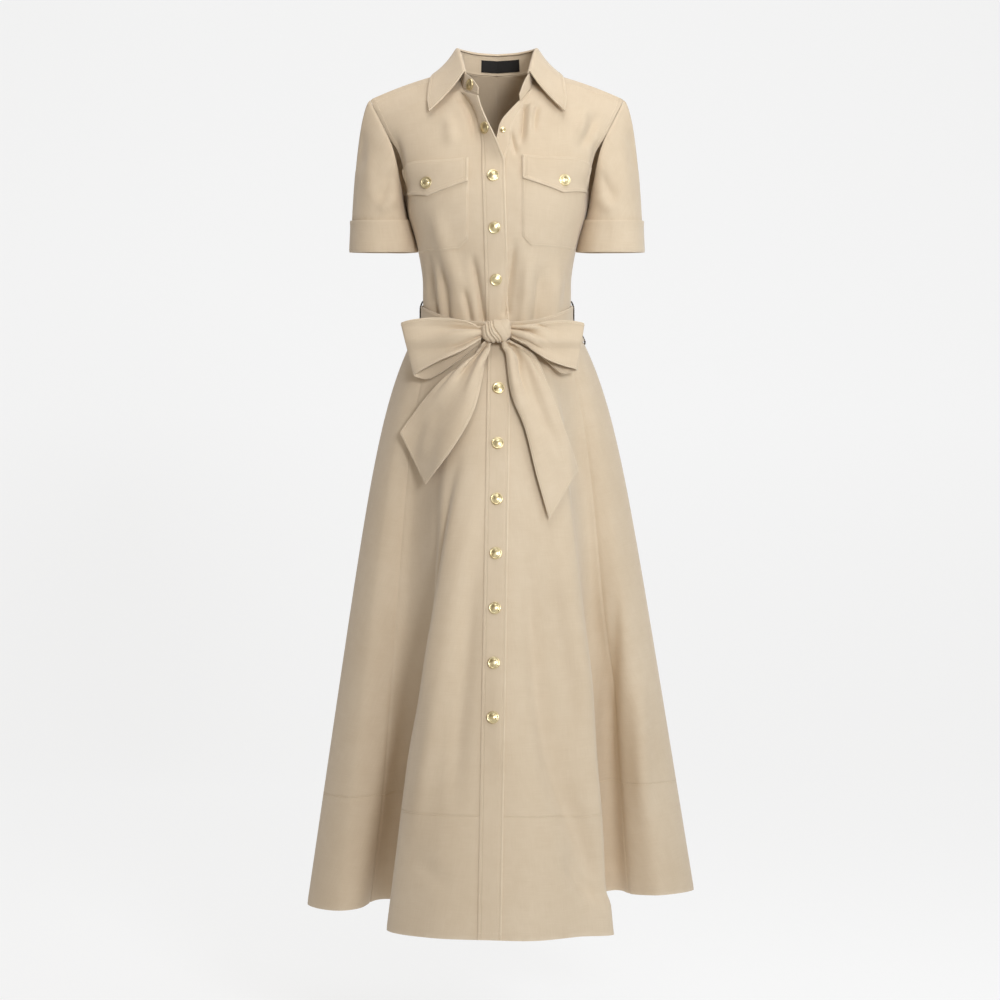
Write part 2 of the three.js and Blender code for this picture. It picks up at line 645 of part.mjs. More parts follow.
// A place on a front panel, so many millimetres across and down from the top inner corner of the flap.
function onFront(word, across, down) {
  const { inner, top } = POCKET_PLACE[word];
  const v = solve((t) => frontEdge(t).z, top - down, 0, COLLAR_CORNER);
  const start = solve((u) => Math.abs(fronts[word](u, v).x), inner, 0, 0.6);
  return { u: alongFront(word, v, start, across), v };
}

function pocketGrid(word, columnsAcross, rowsDown, width, bottom, by) {
  return rowsDown.map((b) =>
    columnsAcross.map((a) => {
      const { u, v } = onFront(word, a * width, b * bottom(a * width));
      return lifted(fronts[word], u, v, by);
    }),
  );
}

// The lower corners of the pocket are cut off at 45 degrees.
function pocketBottom(across) {
  const fromCorner = Math.min(across, POCKET.width - across);
  return POCKET.height - Math.max(0, POCKET.corner - fromCorner);
}

// The flap comes to a point in its middle.
function flapBottom(across) {
  const fromMiddle = Math.abs(across / FLAP.width - 0.5) * 2;
  return lerp(FLAP.point, FLAP.end, fromMiddle);
}

const underPocket = onPanel + 0.5;
const onPocket = underPocket + CLOTH + LAYER_GAP + 0.3;

function makePockets() {
  const corner = POCKET.corner / POCKET.width;
  const across = [0, ...steps(8, corner, 1 - corner), 1];
  for (const { word } of SIDES) {
    const pocket = pocketGrid(word, across, steps(8, 0.06), POCKET.width, pocketBottom, underPocket);
    add(`pocket_${word}`, wall([pocket], 0, CLOTH));
    const flap = pocketGrid(word, steps(10), steps(3), FLAP.width, flapBottom, onPocket);
    add(`pocket_flap_${word}`, wall([flap], 0, DOUBLED));
  }
}

// Sash: the band's lower and upper edges and how far it stands off the waist, by degrees round from the front
const BAND = [
  { angle: 0, low: -400, high: -376, out: 6.0 },
  { angle: 25, low: -401, high: -372, out: 5.6 },
  { angle: 60, low: -401, high: -356, out: 2.8 },
  { angle: 90, low: -397, high: -345, out: 2.6 },
  { angle: 140, low: -389, high: -337, out: 2.6 },
  { angle: 180, low: -385, high: -334, out: 2.6 },
];
const band = columns(BAND, "angle", ["low", "high", "out"]);
const RISE = 0.0012; // how fast the body grows above the waist

// The line of the skirt that starts from a given angle at the waist.
function lineFrom(angle) {
  const waist = (i) => SKIRT_LINES[(i + COUNT) % COUNT].waist + (i >= COUNT ? 360 : 0);
  let i = 0;
  while (waist(i + 1) <= angle) i++;
  return i + (angle - waist(i)) / (waist(i + 1) - waist(i));
}

// The outside of the dress near the waist, at an angle in degrees and a height.
function bodyAt(angle, z) {
  const p = waistPoint(rad(angle));
  const drop = p.z - z;
  if (drop <= 0) return vec(p.x, p.y * (1 - RISE * drop), z);
  const q = skirtSurface(lineFrom(angle), drop / (WAIST.height - HEM_HEIGHT));
  return vec(q.x, q.y, z);
}

function bandSurface(u, h) {
  const angle = u * 360;
  const fromFront = Math.min(angle, 360 - angle);
  const { low, high, out } = band(fromFront);
  const p = bodyAt(angle, lerp(low, high, h));
  const pleat = 0.7 * Math.cos(h * 4 * Math.PI) * hump(fromFront / 70);
  return p.add(vec(p.x, p.y, 0).setLength(out + pleat));
}

const KNOT = { x: -1, y: -122.6, z: -391, halfWidth: 21, halfDepth: 13.5, halfHeight: 16.5 };
const WRAPS = [
  { across: 0.12, deep: 0.13, wide: 0.13 },
  { across: -0.42, deep: 0.1, wide: 0.12 },
  { across: 0.62, deep: 0.08, wide: 0.12 },
];
const KNOT_BUMP = { toward: vec(0.62, -0.2, 0.76), out: 0.24, wide: 0.4 };

function makeKnot() {
  const ball = new THREE.SphereGeometry(1, 20, 11);
  const position = ball.getAttribute("position");
  for (let i = 0; i < position.count; i++) {
    const d = vec(0, 0, 0).fromBufferAttribute(position, i).normalize();
    const across = 0.83 * d.x + 0.55 * d.z; // the wraps run slantwise over the knot
    let r = 1 + KNOT_BUMP.out * hump(d.distanceTo(KNOT_BUMP.toward) / KNOT_BUMP.wide);
    for (const wrap of WRAPS) r -= wrap.deep * hump((across - wrap.across) / wrap.wide);
    const x = KNOT.x + r * KNOT.halfWidth * power(d.x, 0.85);
    const y = KNOT.y + r * KNOT.halfDepth * power(d.y, 0.85);
    position.setXYZ(i, x, y, KNOT.z + r * KNOT.halfHeight * power(d.z, 0.85));
  }
  add("bow_knot", ball);
}

// How far forward a piece of the bow rests at a place: on the skirt or the band, or straight past the hips.
const REST = { wings: 74, band: 8, bridge: 12 };

function restDepth(x, z) {
  const drop = Math.max(0, WAIST.height - WAIST.dip - z);
  const s = drop / (WAIST.height - HEM_HEIGHT);
  const side = x < 0 ? 4 : -4;
  const depthAt = (far) => {
    const a = solve((t) => Math.abs(skirtSurface(t * side, s).x), far, 0, 1);
    return -skirtSurface(a * side, s).y;
  };
  // The ribbon doesn't dip into a fold: it rests on whatever stands out a little nearer the middle.
  const skirt = Math.max(depthAt(Math.abs(x)), depthAt(Math.abs(x) - REST.bridge));
  const depth = skirt + CLOTH + REST.band * smooth((z + 416) / 14);
  return (depth + REST.wings + Math.hypot(depth - REST.wings, 8)) / 2;
}

// Bow loops, from the knot out along the front layer, round the end and back. Each row gives the ribbon's
// place: x, its upper and lower edges, how much further out its top is, and how far it stands off.
const LOOPS = {
  right: [
    { x: -22.4, top: -384, low: -402, slant: 0, out: 15, gather: 1.4 },
    { x: -48, top: -375, low: -418, slant: 0, out: 19, gather: 2.4 },
    { x: -84, top: -370, low: -433, slant: 1, out: 22, gather: 1.4 },
    { x: -112, top: -372, low: -445, slant: 5, out: 20, gather: 0.6 },
    { x: -126, top: -376, low: -451, slant: 9, out: 13, gather: 0 },
    { x: -120, top: -378, low: -455, slant: 9, out: 7.4, gather: 0 },
    { x: -98, top: -380, low: -456, slant: 4, out: 6.4, gather: 0 },
    { x: -62, top: -385, low: -437, slant: 0, out: 6.4, gather: 0.4 },
    { x: -23, top: -388, low: -406, slant: 0, out: 6, gather: 0.4 },
  ],
  left: [
    { x: 20.6, top: -383, low: -398, slant: 0, out: 15, gather: 1 },
    { x: 43, top: -383, low: -411, slant: 0, out: 19, gather: 2.4 },
    { x: 70, top: -376, low: -430, slant: 1, out: 21, gather: 1.6 },
    { x: 96, top: -374, low: -439, slant: 3, out: 19, gather: 0.8 },
    { x: 117, top: -377, low: -444, slant: 5, out: 13, gather: 0 },
    { x: 112, top: -380, low: -447, slant: 5, out: 7.4, gather: 0 },
    { x: 93, top: -382, low: -448, slant: 3, out: 6.4, gather: 0 },
    { x: 56, top: -386, low: -420, slant: 0, out: 6.4, gather: 0.4 },
    { x: 21.5, top: -389, low: -402, slant: 0, out: 6, gather: 0.4 },
  ],
};
const LOOP_COLUMNS = ["x", "top", "low", "slant", "out", "gather"];

function loopSurface(rows) {
  const at = columns(rows.map((row, i) => ({ ...row, i })), "i", LOOP_COLUMNS);
  return (t, h) => {
    const p = at(t * (rows.length - 1));
    const z = lerp(p.low, p.top, h);
    const x = p.x + Math.sign(p.x) * p.slant * (2 * h - 1);
    return vec(x, -restDepth(x, z) - p.out - p.gather * Math.cos(4 * Math.PI * h), z);
  };
}

// Bow tails: both edges of the ribbon from the knot to its slanted end, and how far it stands off the skirt
const TAILS = {
  right: [
    { lx: -18, lz: -404.4, rx: -8, rz: -407, out: 9, gather: 0.6 },
    { lx: -43.7, lz: -431, rx: -19, rz: -434, out: 8, gather: 2.2 },
    { lx: -69, lz: -450, rx: -20, rz: -452, out: 8, gather: 3.4 },
    { lx: -101.7, lz: -485, rx: -32.4, rz: -503.6, out: 7, gather: 2.6 },
    { lx: -122.9, lz: -512, rx: -59.2, rz: -553, out: 6, gather: 1.4 },
    { lx: -138.4, lz: -533, rx: -100.8, rz: -607, out: 5, gather: 0.6 },
  ],
  left: [
    { lx: 7, lz: -406.6, rx: 17.5, rz: -402.2, out: 9, gather: 0.6 },
    { lx: 14, lz: -424, rx: 44, rz: -416, out: 9, gather: 2.2 },
    { lx: 15.5, lz: -442, rx: 58, rz: -432, out: 9, gather: 3.4 },
    { lx: 21.4, lz: -482, rx: 76.5, rz: -476.7, out: 8, gather: 3.6 },
    { lx: 39.8, lz: -530, rx: 92, rz: -519, out: 7, gather: 2.8 },
    { lx: 55.3, lz: -594, rx: 104.8, rz: -556, out: 6, gather: 1.6 },
    { lx: 72.7, lz: -656, rx: 114.7, rz: -587, out: 5, gather: 0.6 },
  ],
};
const TAIL_COLUMNS = ["lx", "lz", "rx", "rz", "out", "gather"];

function tailSurface(rows) {
  const at = columns(rows.map((row, i) => ({ ...row, i })), "i", TAIL_COLUMNS);
  return (h, t) => {
    const p = at(t * (rows.length - 1));
    const x = lerp(p.lx, p.rx, h);
    const z = lerp(p.lz, p.rz, h);
    return vec(x, -restDepth(x, z) - p.out - p.gather * Math.sin(3 * Math.PI * h), z);
  };
}

// Thread loops at the side seams that carry the sash: height and how far each stands off
const CARRIER = [
  { z: -338, out: 1.9 },
  { z: -343, out: 5.6 },
  { z: -358, out: 6.4 },
  { z: -380, out: 6.0 },
  { z: -397, out: 5.5 },
  { z: -402, out: 2.2 },
];
const CARRIER_SIZE = { halfWidth: 2, thick: 1.5 };

function carrierGrid(side) {
  return CARRIER.map(({ z, out }) => {
    const x = side * (Math.abs(bodyAt(90, z).x) + out);
    return [vec(x, -CARRIER_SIZE.halfWidth, z), vec(x, CARRIER_SIZE.halfWidth, z)];
  });
}

function makeSash() {
  const turns = steps(40).slice(0, -1);
  add("sash_band", wall([gridOf(bandSurface, turns, steps(4))], 0, DOUBLED, { closed: true }));
  makeKnot();
  for (const { side, word } of SIDES) {
    const loop = gridOf(loopSurface(LOOPS[word]), steps(18), steps(5));
    const outward = (p) => vec(0.3 * (p.x - side * 60), p.y + restDepth(p.x, p.z) + 11, 0);
    add(`bow_loop_${word}`, wall([loop], 0, DOUBLED, { outward }));
    const tail = gridOf(tailSurface(TAILS[word]), steps(8), steps(12));
    add(`bow_tail_${word}`, wall([tail], 0, DOUBLED, { outward: () => vec(0, -1, 0) }));
    add(`belt_carrier_${word}`, wall([carrierGrid(side)], 0, CARRIER_SIZE.thick), "thread");
  }
}

// Snap caps: a shallow dome with a rolled rim. The places are the heights of their middles.
const CAP = [
  { r: 0, z: 0 },
  { r: 8.5, z: 0 },
  { r: 8.5, z: 1.6 },
  { r: 7.4, z: 2.5 },
  { r: 6.2, z: 2.0 },
  { r: 0, z: 3.2 },
];
const BODICE_SNAPS = [-170, -243.5, -316];
const SKIRT_SNAPS = [-472, -550, -628, -703.5, -779, -854, -928];
const CAP_LIFT = 0.4;

function lathe(profile, sides) {
  return new THREE.LatheGeometry(profile.map(({ r, z }) => new THREE.Vector2(r, z)), sides);
}

// Sets a turned piece on a surface point, with its axis along the normal.
function seat(geometry, at, normal) {
  const turn = new THREE.Quaternion().setFromUnitVectors(vec(0, 1, 0), normal);
  return geometry.applyQuaternion(turn).translate(...at.toArray());
}

function addCap(name, surface, u, v, by, outward) {
  const n = normalAt(surface, u, v, outward);
  add(name, seat(lathe(CAP, 12), surface(u, v).addScaledVector(n, by + CAP_LIFT), n), "brass");
}

function makeSnaps() {
  const forward = () => vec(0, -1, 0);
  const heightOf = (surface, z, high) => solve((t) => surface(0.5, t).z, z, 0, high);
  const opened = { w: 0.56, z: -100, lift: 1.4 };
  const openedV = heightOf(bodicePlacket, opened.z, COLLAR_CORNER);
  addCap("snap_neck", bodicePlacket, opened.w, openedV, CLOTH + opened.lift, forward);
  addCap("snap_stand", standSurface, -1.08, 0.5, CLOTH, () => vec(-1, -1, 0));
  BODICE_SNAPS.forEach((z, i) =>
    addCap(`snap_bodice_${i + 1}`, bodicePlacket, 0.48, heightOf(bodicePlacket, z, 0.6), CLOTH, forward),
  );
  SKIRT_SNAPS.forEach((z, i) =>
    addCap(`snap_skirt_${i + 1}`, skirtPlacket, 0.5, heightOf(skirtPlacket, z, 1), CLOTH, forward),
  );
  for (const { word } of SIDES) {
    const { u, v } = onFront(word, FLAP.width / 2, FLAP.point - 18);
    addCap(`snap_flap_${word}`, fronts[word], u, v, onPocket + DOUBLED + 0.9, fromAxis);
  }
  const stud = [{ r: 0, z: 0 }, { r: 4.3, z: 0 }, { r: 4.3, z: 1.2 }, { r: 2.4, z: 2.2 }, { r: 0, z: 2.2 }];
  const v = solve((t) => frontEdge(t).z, -102, 0, COLLAR_CORNER);
  const u = solve((t) => fronts.left(t, v).x, 8.5, 0, 0.5);
  const n = normalAt(fronts.left, u, v, forward);
  const at = fronts.left(u, v).addScaledVector(n, CLOTH + CAP_LIFT);
  add("snap_stud", seat(lathe(stud, 12), at, n), "brass");
}

makeBodice();
makeSleeves();
makeCollar();
makeSkirt();
makePlacket();
makePockets();
makeSash();
makeSnaps();

export default dress;
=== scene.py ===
"""The looks of a belted shirt dress in tan twill: fine cloth, folds, seams, stitches, snaps and light.

Every cloth piece follows the surface that its solid is made from, worked out again here in millimetres from
the same tables of sizes, and is turned into metres when its mesh is made. The wearer's right is -X.
"""

import json
import math

import bpy
import numpy as np
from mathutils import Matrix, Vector

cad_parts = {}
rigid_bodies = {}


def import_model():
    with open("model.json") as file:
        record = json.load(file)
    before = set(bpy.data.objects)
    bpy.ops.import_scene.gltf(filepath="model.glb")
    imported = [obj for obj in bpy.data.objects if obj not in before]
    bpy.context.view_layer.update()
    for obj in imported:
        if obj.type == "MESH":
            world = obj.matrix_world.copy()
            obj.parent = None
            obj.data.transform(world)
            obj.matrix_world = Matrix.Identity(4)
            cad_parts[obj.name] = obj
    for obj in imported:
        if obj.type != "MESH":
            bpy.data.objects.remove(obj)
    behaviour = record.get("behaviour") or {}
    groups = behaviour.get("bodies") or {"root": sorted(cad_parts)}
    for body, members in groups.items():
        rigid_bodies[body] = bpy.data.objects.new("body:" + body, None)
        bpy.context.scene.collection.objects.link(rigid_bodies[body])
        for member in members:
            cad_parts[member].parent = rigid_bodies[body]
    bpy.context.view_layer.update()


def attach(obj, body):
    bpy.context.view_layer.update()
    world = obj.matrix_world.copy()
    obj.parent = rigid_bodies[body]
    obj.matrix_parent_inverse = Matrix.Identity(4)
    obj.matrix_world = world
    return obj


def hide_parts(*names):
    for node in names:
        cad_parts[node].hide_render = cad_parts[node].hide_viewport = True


for left_over in list(bpy.data.objects):
    bpy.data.objects.remove(left_over)
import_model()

# Driving dimensions, in millimetres
MM = 0.001
WAIST = dict(half_width=107, front=92, back=80, height=-367, dip=15)
HEM_HEIGHT = -1222
SKIRT_DROP = WAIST["height"] - HEM_HEIGHT
PLACKET_WIDTH = 33
PLACKET_OVERLAP = 5.5
CUFF_HEIGHT = 46
HEM_DEPTH = 166  # from the hem's stitches down to its edge
ONE_LAYER = (0.2, 1.3)  # where a panel's two faces lie above its surface
ON_PANEL = 1.6  # how far a piece that lies on a panel is lifted
ON_POCKET = 3.4
STITCH = dict(pitch=3.3, length=2.5, thick=0.36)
GROOVE = dict(deep=0.55, wide=1.1)  # where a row of stitches pulls the cloth down
EDGE_HIGHLIGHT_REACH = 1.1  # how far from a sewn edge the cloth is painted paler, a painted highlight where the folded edge catches the light

CAMERA = dict(x=4.4, distance=3600, z=-629.4, lens=88.46)


# Small helpers
def lerp(a, b, t):
    return a + (b - a) * t


def smooth(t):
    t = np.clip(t, 0, 1)
    return t * t * (3 - 2 * t)


def hump(t):
    return np.exp(-(t * t))


def vec(x, y, z):
    return np.stack(np.broadcast_arrays(x, y, z), axis=-1).astype(float)


def length(p):
    return np.linalg.norm(p, axis=-1, keepdims=True)


def unit(p):
    return p / np.maximum(length(p), 1e-9)


def power(x, p):
    return np.sign(x) * np.abs(x) ** p


def mirrored(p, side):
    return p * np.array([side, 1, 1])


def table(names, *rows):
    return dict(zip(names.split(), np.array(rows, float).T))


def column(rows, key, by):
    """A column of a table as a smooth function of another column."""
    at, values = rows[by], rows[key]
    index = np.arange(len(at))
    before, after = np.maximum(index - 1, 0), np.minimum(index + 1, len(at) - 1)
    slopes = (values[after] - values[before]) / (at[after] - at[before])

    def value(t):
        x = np.clip(t, at[0], at[-1])
        i = np.clip(np.searchsorted(at, x, side="right") - 1, 0, len(at) - 2)
        h = at[i + 1] - at[i]
        s = (x - at[i]) / h
        rise = values[i + 1] - values[i]
        bend = (h * slopes[i] - rise) * (1 - s) - (h * slopes[i + 1] - rise) * s
        return values[i] + rise * s + s * (1 - s) * bend

    return value


def columns(rows, by):
    return {key: column(rows, key, by) for key in rows if key != by}


def curve_of(rows, by):
    at = columns(rows, by)
    return lambda t: vec(at["x"](t), at["y"](t), at["z"](t))


def cubic(p0, p1, p2, p3, t):
    a, b = 2 * p1, p2 - p0
    c, d = 2 * p0 - 5 * p1 + 4 * p2 - p3, 3 * p1 - p0 - 3 * p2 + p3
    return 0.5 * (a + b * t + c * t * t + d * t * t * t)


def bezier(p0, p1, p2, p3, t):
    t = t[..., None]
    return (1 - t) ** 3 * p0 + 3 * t * (1 - t) ** 2 * p1 + 3 * t * t * (1 - t) * p2 + t**3 * p3


def interp_rows(x, xs, ts):
    """For each row: the t at which its rising samples xs reach x."""
    rising = np.maximum.accumulate(xs + np.arange(xs.shape[1]) * 1e-9, axis=1)
    return np.array([np.interp(a, b, ts) for a, b in zip(x, rising)])


def walked(points):
    """The distance along each row of points from its start."""
    steps = np.linalg.norm(np.diff(points, axis=1), axis=-1)
    return np.concatenate([np.zeros((len(points), 1)), np.cumsum(steps, axis=1)], axis=1)


def graded(count, ends=0.6):
    """Places from 0 to 1 that lie closer together near both ends."""
    t = np.linspace(0, 1, count + 1)
    return t - ends * np.sin(2 * math.pi * t) / (2 * math.pi)


def normal_at(surface, u, v, outward):
    e = 1e-3
    du = surface(u + e, v) - surface(u - e, v)
    dv = surface(u, v + e) - surface(u, v - e)
    n = unit(np.cross(du, dv))
    facing = np.sum(n * outward(surface(u, v)), axis=-1, keepdims=True)
    return np.where(facing < 0, -n, n)


def from_axis(p):
    return vec(p[..., 0], p[..., 1], 0 * p[..., 2])


def up_and_out(p):
    return vec(p[..., 0], p[..., 1], np.maximum(0, p[..., 2] + 200))


def forward(p):
    return vec(0 * p[..., 0], -1, 0)


def lifted(surface, u, v, by, outward=from_axis):
    return surface(u, v) + normal_at(surface, u, v, outward) * by


# Body sections
SQUARE_X, SQUARE_Y = 0.9, 0.84


def waist_point(angle):
    deep = np.where(np.cos(angle) > 0, WAIST["front"], WAIST["back"])
    x = -WAIST["half_width"] * power(np.sin(angle), SQUARE_X)
    z = WAIST["height"] - WAIST["dip"] * np.cos(angle)
    return vec(x, -deep * power(np.cos(angle), SQUARE_Y), z)


# Bodice
NECKLINE = table(
    "at x y z",
    (0.0, 47, -62, -40),
    (0.14, 51, -42, -23),
    (0.28, 55, -22, -8),
    (0.42, 58, -2, -1),
    (0.56, 57, 18, 1),
    (0.7, 49, 38, 2),
    (0.85, 29, 54, 1),
    (1.0, 0, 60, 0),
)
SHOULDER_SEAM = 0.28
UNDERARM = 0.57
COLLAR_CORNER = 0.92
NAPE = 0.86
SIDE_ROWS = [
    (0.0, 107, 0, -367),
    (0.1, 107, 0, -335),
    (0.22, 108, 0, -300),
    (0.36, 117, 0, -250),
    (0.5, 131, 0, -205),
    (UNDERARM, 135.5, 0, -188),
]
FRONT_SIDE = table(
    "v x y z",
    *SIDE_ROWS,
    (0.65, 138, -34, -174),
    (0.74, 143, -50, -146),
    (0.83, 152, -48, -114),
    (0.92, 169, -32, -78),
    (1.0, 184, -14, -47),
)
BACK_SIDE = table(
    "v x y z",
    *SIDE_ROWS,
    (0.65, 140, 36, -174),
    (0.74, 148, 50, -142),
    (0.83, 159, 46, -106),
    (0.91, 175, 26, -66),
    (0.96, 184.5, 4, -45),
    (1.0, 184, -14, -47),
)
FRONT_EDGE = table(
    "v z y right left facing",
    (0.0, -382, -91.5, 10, -9, 24),
    (0.1, -346, -96, 11, -10, 24),
    (0.22, -302, -104, 12, -11, 24),
    (0.36, -250, -115, 13.5, -12.5, 24),
    (0.5, -200, -120, 15, -14, 24),
    (0.58, -170, -117, 16, -15, 24),
    (0.66, -142, -110, 16.5, -11, 23),
    (0.74, -114, -101, 17, -1, 21),
    (0.81, -88, -91, 23, 6, 17),
    (0.87, -64, -79, 33, 25, 10),
    (COLLAR_CORNER, -40, -62, 47, 47, 2),
)
BACK_EDGE = table(
    "v z y",
    (0.0, -352, 80),
    (0.15, -295, 84),
    (0.35, -222, 96),
    (0.5, -165, 103),
    (0.62, -112, 104),
    (0.74, -58, 94),
    (NAPE, 0, 60),
)
ROUNDNESS = table("v round", (0, 1), (0.58, 1), (0.72, 0.9), (0.84, 0.6), (1, 0.15))
WAIST_FOLDS = [
    dict(u=0.16, depth=-3.4, wide=0.05, high=0.3),
    dict(u=0.3, depth=3.8, wide=0.07, high=0.46),
    dict(u=0.42, depth=-3.6, wide=0.05, high=0.34),
    dict(u=0.55, depth=3.4, wide=0.06, high=0.42),
    dict(u=0.7, depth=-3.2, wide=0.05, high=0.3),
    dict(u=0.84, depth=2.6, wide=0.05, high=0.26),
]
BUST = dict(u=0.5, v=0.47, wide=0.34, high=0.16, out=7)

neckline = curve_of(NECKLINE, "at")
front_edge = columns(FRONT_EDGE, "v")
back_edge = columns(BACK_EDGE, "v")
roundness = column(ROUNDNESS, "round", "v")
front_side_line = curve_of(FRONT_SIDE, "v")
back_side_line = curve_of(BACK_SIDE, "v")
SIDE = dict(right=-1, left=1)


def front_side(v):
    return np.minimum(front_side_line(v), [np.inf, 0, np.inf])


def back_side(v):
    return np.maximum(back_side_line(v), [-np.inf, 0, -np.inf])


def front_inner(v, word):
    neck = neckline(SHOULDER_SEAM * (v - COLLAR_CORNER) / (1 - COLLAR_CORNER))
    edge = vec(front_edge[word](v), front_edge["y"](v), front_edge["z"](v))
    return np.where((v > COLLAR_CORNER)[..., None], neck, edge)


def back_inner(v):
    neck = neckline(lerp(1, SHOULDER_SEAM, (v - NAPE) / (1 - NAPE)))
    edge = vec(0 * v, back_edge["y"](v), back_edge["z"](v))
    return np.where((v > NAPE)[..., None], neck, edge)


def bodice_row(start, end, u, round_it):
    first = np.arcsin(power(np.clip(start[..., 0] / end[..., 0], -1, 1), 1 / SQUARE_X))
    angle = lerp(first, math.pi / 2, u)
    deep = power(np.cos(angle), SQUARE_Y) / power(np.cos(first), SQUARE_Y)
    z = lerp(end[..., 2], start[..., 2], np.cos(angle) / np.cos(first))
    y = lerp(end[..., 1], start[..., 1], deep)
    curved = vec(end[..., 0] * power(np.sin(angle), SQUARE_X), y, z)
    return lerp(lerp(start, end, u[..., None]), curved, round_it[..., None])


def waist_fold(u, v):
    out = 0
    for fold in WAIST_FOLDS:
        fade = smooth(1 - v / fold["high"]) * smooth(v / 0.12 - 0.35)
        out = out + fold["depth"] * hump((u - fold["u"]) / fold["wide"]) * fade
    return out


def pushed_out(p, out):
    return p + unit(vec(p[..., 0] * 0.6, p[..., 1], 0)) * out[..., None]


def front_surface(word):
    def surface(u, v):
        u, v = np.broadcast_arrays(u, v)
        p = bodice_row(front_inner(v, word), front_side(v), u, roundness(v))
        full = hump((u - BUST["u"]) / BUST["wide"]) * hump((v - BUST["v"]) / BUST["high"])
        return mirrored(pushed_out(p, BUST["out"] * full + waist_fold(u, v)), SIDE[word])

    return surface


def back_surface(word):
    def surface(u, v):
        u, v = np.broadcast_arrays(u, v)
        p = bodice_row(back_inner(v), back_side(v), u, roundness(v))
        return mirrored(pushed_out(p, 0.8 * waist_fold(u, v)), SIDE[word])

    return surface


FRONTS = dict(right=front_surface("right"), left=front_surface("left"))


def along_front(word, v, start, distance):
    """Where a row of a front is a given distance along the cloth from a start; v has one column."""
    us = np.linspace(0, 1, 241)
    far = walked(FRONTS[word](us[None, :], v))
    begin = np.array([np.interp(s, us, f) for s, f in zip(start, far)])
    return interp_rows(begin + distance, far, us)


def facing_seam(v):
    v1 = v[:, :1]
    along = along_front("left", v1, 0 * v1, front_edge["facing"](v1))
    return np.where(v1 <= COLLAR_CORNER, along, 0) + 0 * v


def left_panel(u, v):
    return FRONTS["left"](lerp(facing_seam(v), 1, u), v)


def under_placket(w, v):
    return FRONTS["left"](facing_seam(v) * w, v)


# Sleeves
SLEEVE_END = dict(x=168.5, y=0, z=-267, half_width=44.5, half_depth=56, tilt=5)


def armhole(q):
    t = np.where(q <= 0.5, q * 2, 2 - q * 2)
    v = lerp(1, UNDERARM, t)
    return np.where((q <= 0.5)[..., None], front_side(v), back_side(v))


def sleeve_surface(word):
    end = SLEEVE_END

    def surface(q, t):
        q, t = np.broadcast_arrays(q, t)
        turn = 2 * math.pi * q
        under = (1 - np.cos(turn)) / 2
        start = armhole(np.mod(q, 1))
        start = start + vec(0.8 + 1.4 * under**2, 0, 0)
        y = end["y"] - end["half_depth"] * np.sin(turn + 0.1 * (1 - under))
        x = end["x"] + end["half_width"] * np.cos(turn)
        stop = vec(x, y, end["z"] + end["tilt"] * y / end["half_depth"])
        leave = start + vec(3 + 15 * (1 - under), 0.1 * start[..., 1], -6 - 20 * (1 - under))
        back = start - stop
        arrive = stop + vec(back[..., 0] * 0.1, 0, 0.35 * back[..., 2])
        return mirrored(bezier(start, leave, arrive, stop, t), SIDE[word])

    return surface


def cuff_surface(word):
    sleeve = sleeve_surface(word)
    ts = np.linspace(0, 1, 121)

    def surface(q, t):
        q, t = np.broadcast_arrays(q, t)
        heights = sleeve(q[0][:, None], ts[None, :])[..., 2]
        ends = heights[:, -1]
        wanted = ends[:, None] + (1 - t.T) * CUFF_HEIGHT
        found = [np.interp(-z, -h, ts) for z, h in zip(wanted, heights)]
        return sleeve(q, np.array(found).T)

    return surface


# Collar
STAND = dict(height=28, front=22, end=9, reach=1.17)
STAND_END = dict(right=np.array([-27, -94, -50.0]), left=np.array([33, -77, -57.0]))
STAND_LIFT = 2.0
LEAF_EDGE = table(
    "at x y z",
    (0.0, 97, -80, -72),
    (0.14, 100, -58, -50),
    (0.28, 97, -30, -20),
    (0.42, 93, 0, -7),
    (0.56, 83, 34, -3),
    (0.7, 68, 62, -10),
    (0.85, 40, 80, -17),
    (1.0, 0, 86, -18),
)
leaf_edge = curve_of(LEAF_EDGE, "at")


def around_neck(curve, s):
    p = curve(1 - np.abs(s))
    return p * np.stack([np.where(s < 0, -1, 1), np.ones_like(s), np.ones_like(s)], axis=-1)


def stand_surface(s, h):
    s, h = np.broadcast_arrays(s, h)
    past = np.maximum(0, (np.abs(s) - 1) / (STAND["reach"] - 1))
    corner = around_neck(neckline, np.clip(s, -1, 1))
    end = np.where((s < 0)[..., None], STAND_END["right"], STAND_END["left"])
    base = lerp(corner, end, past[..., None])
    front = lerp(STAND["height"], STAND["front"], smooth(np.abs(s) * 1.6 - 0.6))
    high = lerp(front, STAND["end"], past**2)
    ahead = smooth(np.abs(s) * 3 - 2)
    up = vec(-base[..., 0] * 0.03, -4 * ahead - base[..., 1] * 0.02, high)
    return base + vec(0, 0, STAND_LIFT * (1 - past)) + up * h[..., None]


def leaf_surface(s, k):
    s, k = np.broadcast_arrays(s, k)
    start = stand_surface(s, np.ones_like(s)) + vec(0, 0, 0.6)
    stop = around_neck(leaf_edge, s)
    out = unit(vec(start[..., 0], start[..., 1] + 8, 0))
    over = start + out * 3 + vec(0, 0, 9)
    down = start + out * 6 + vec(0, 0, -13)
    return bezier(start, over, down, stop, k)


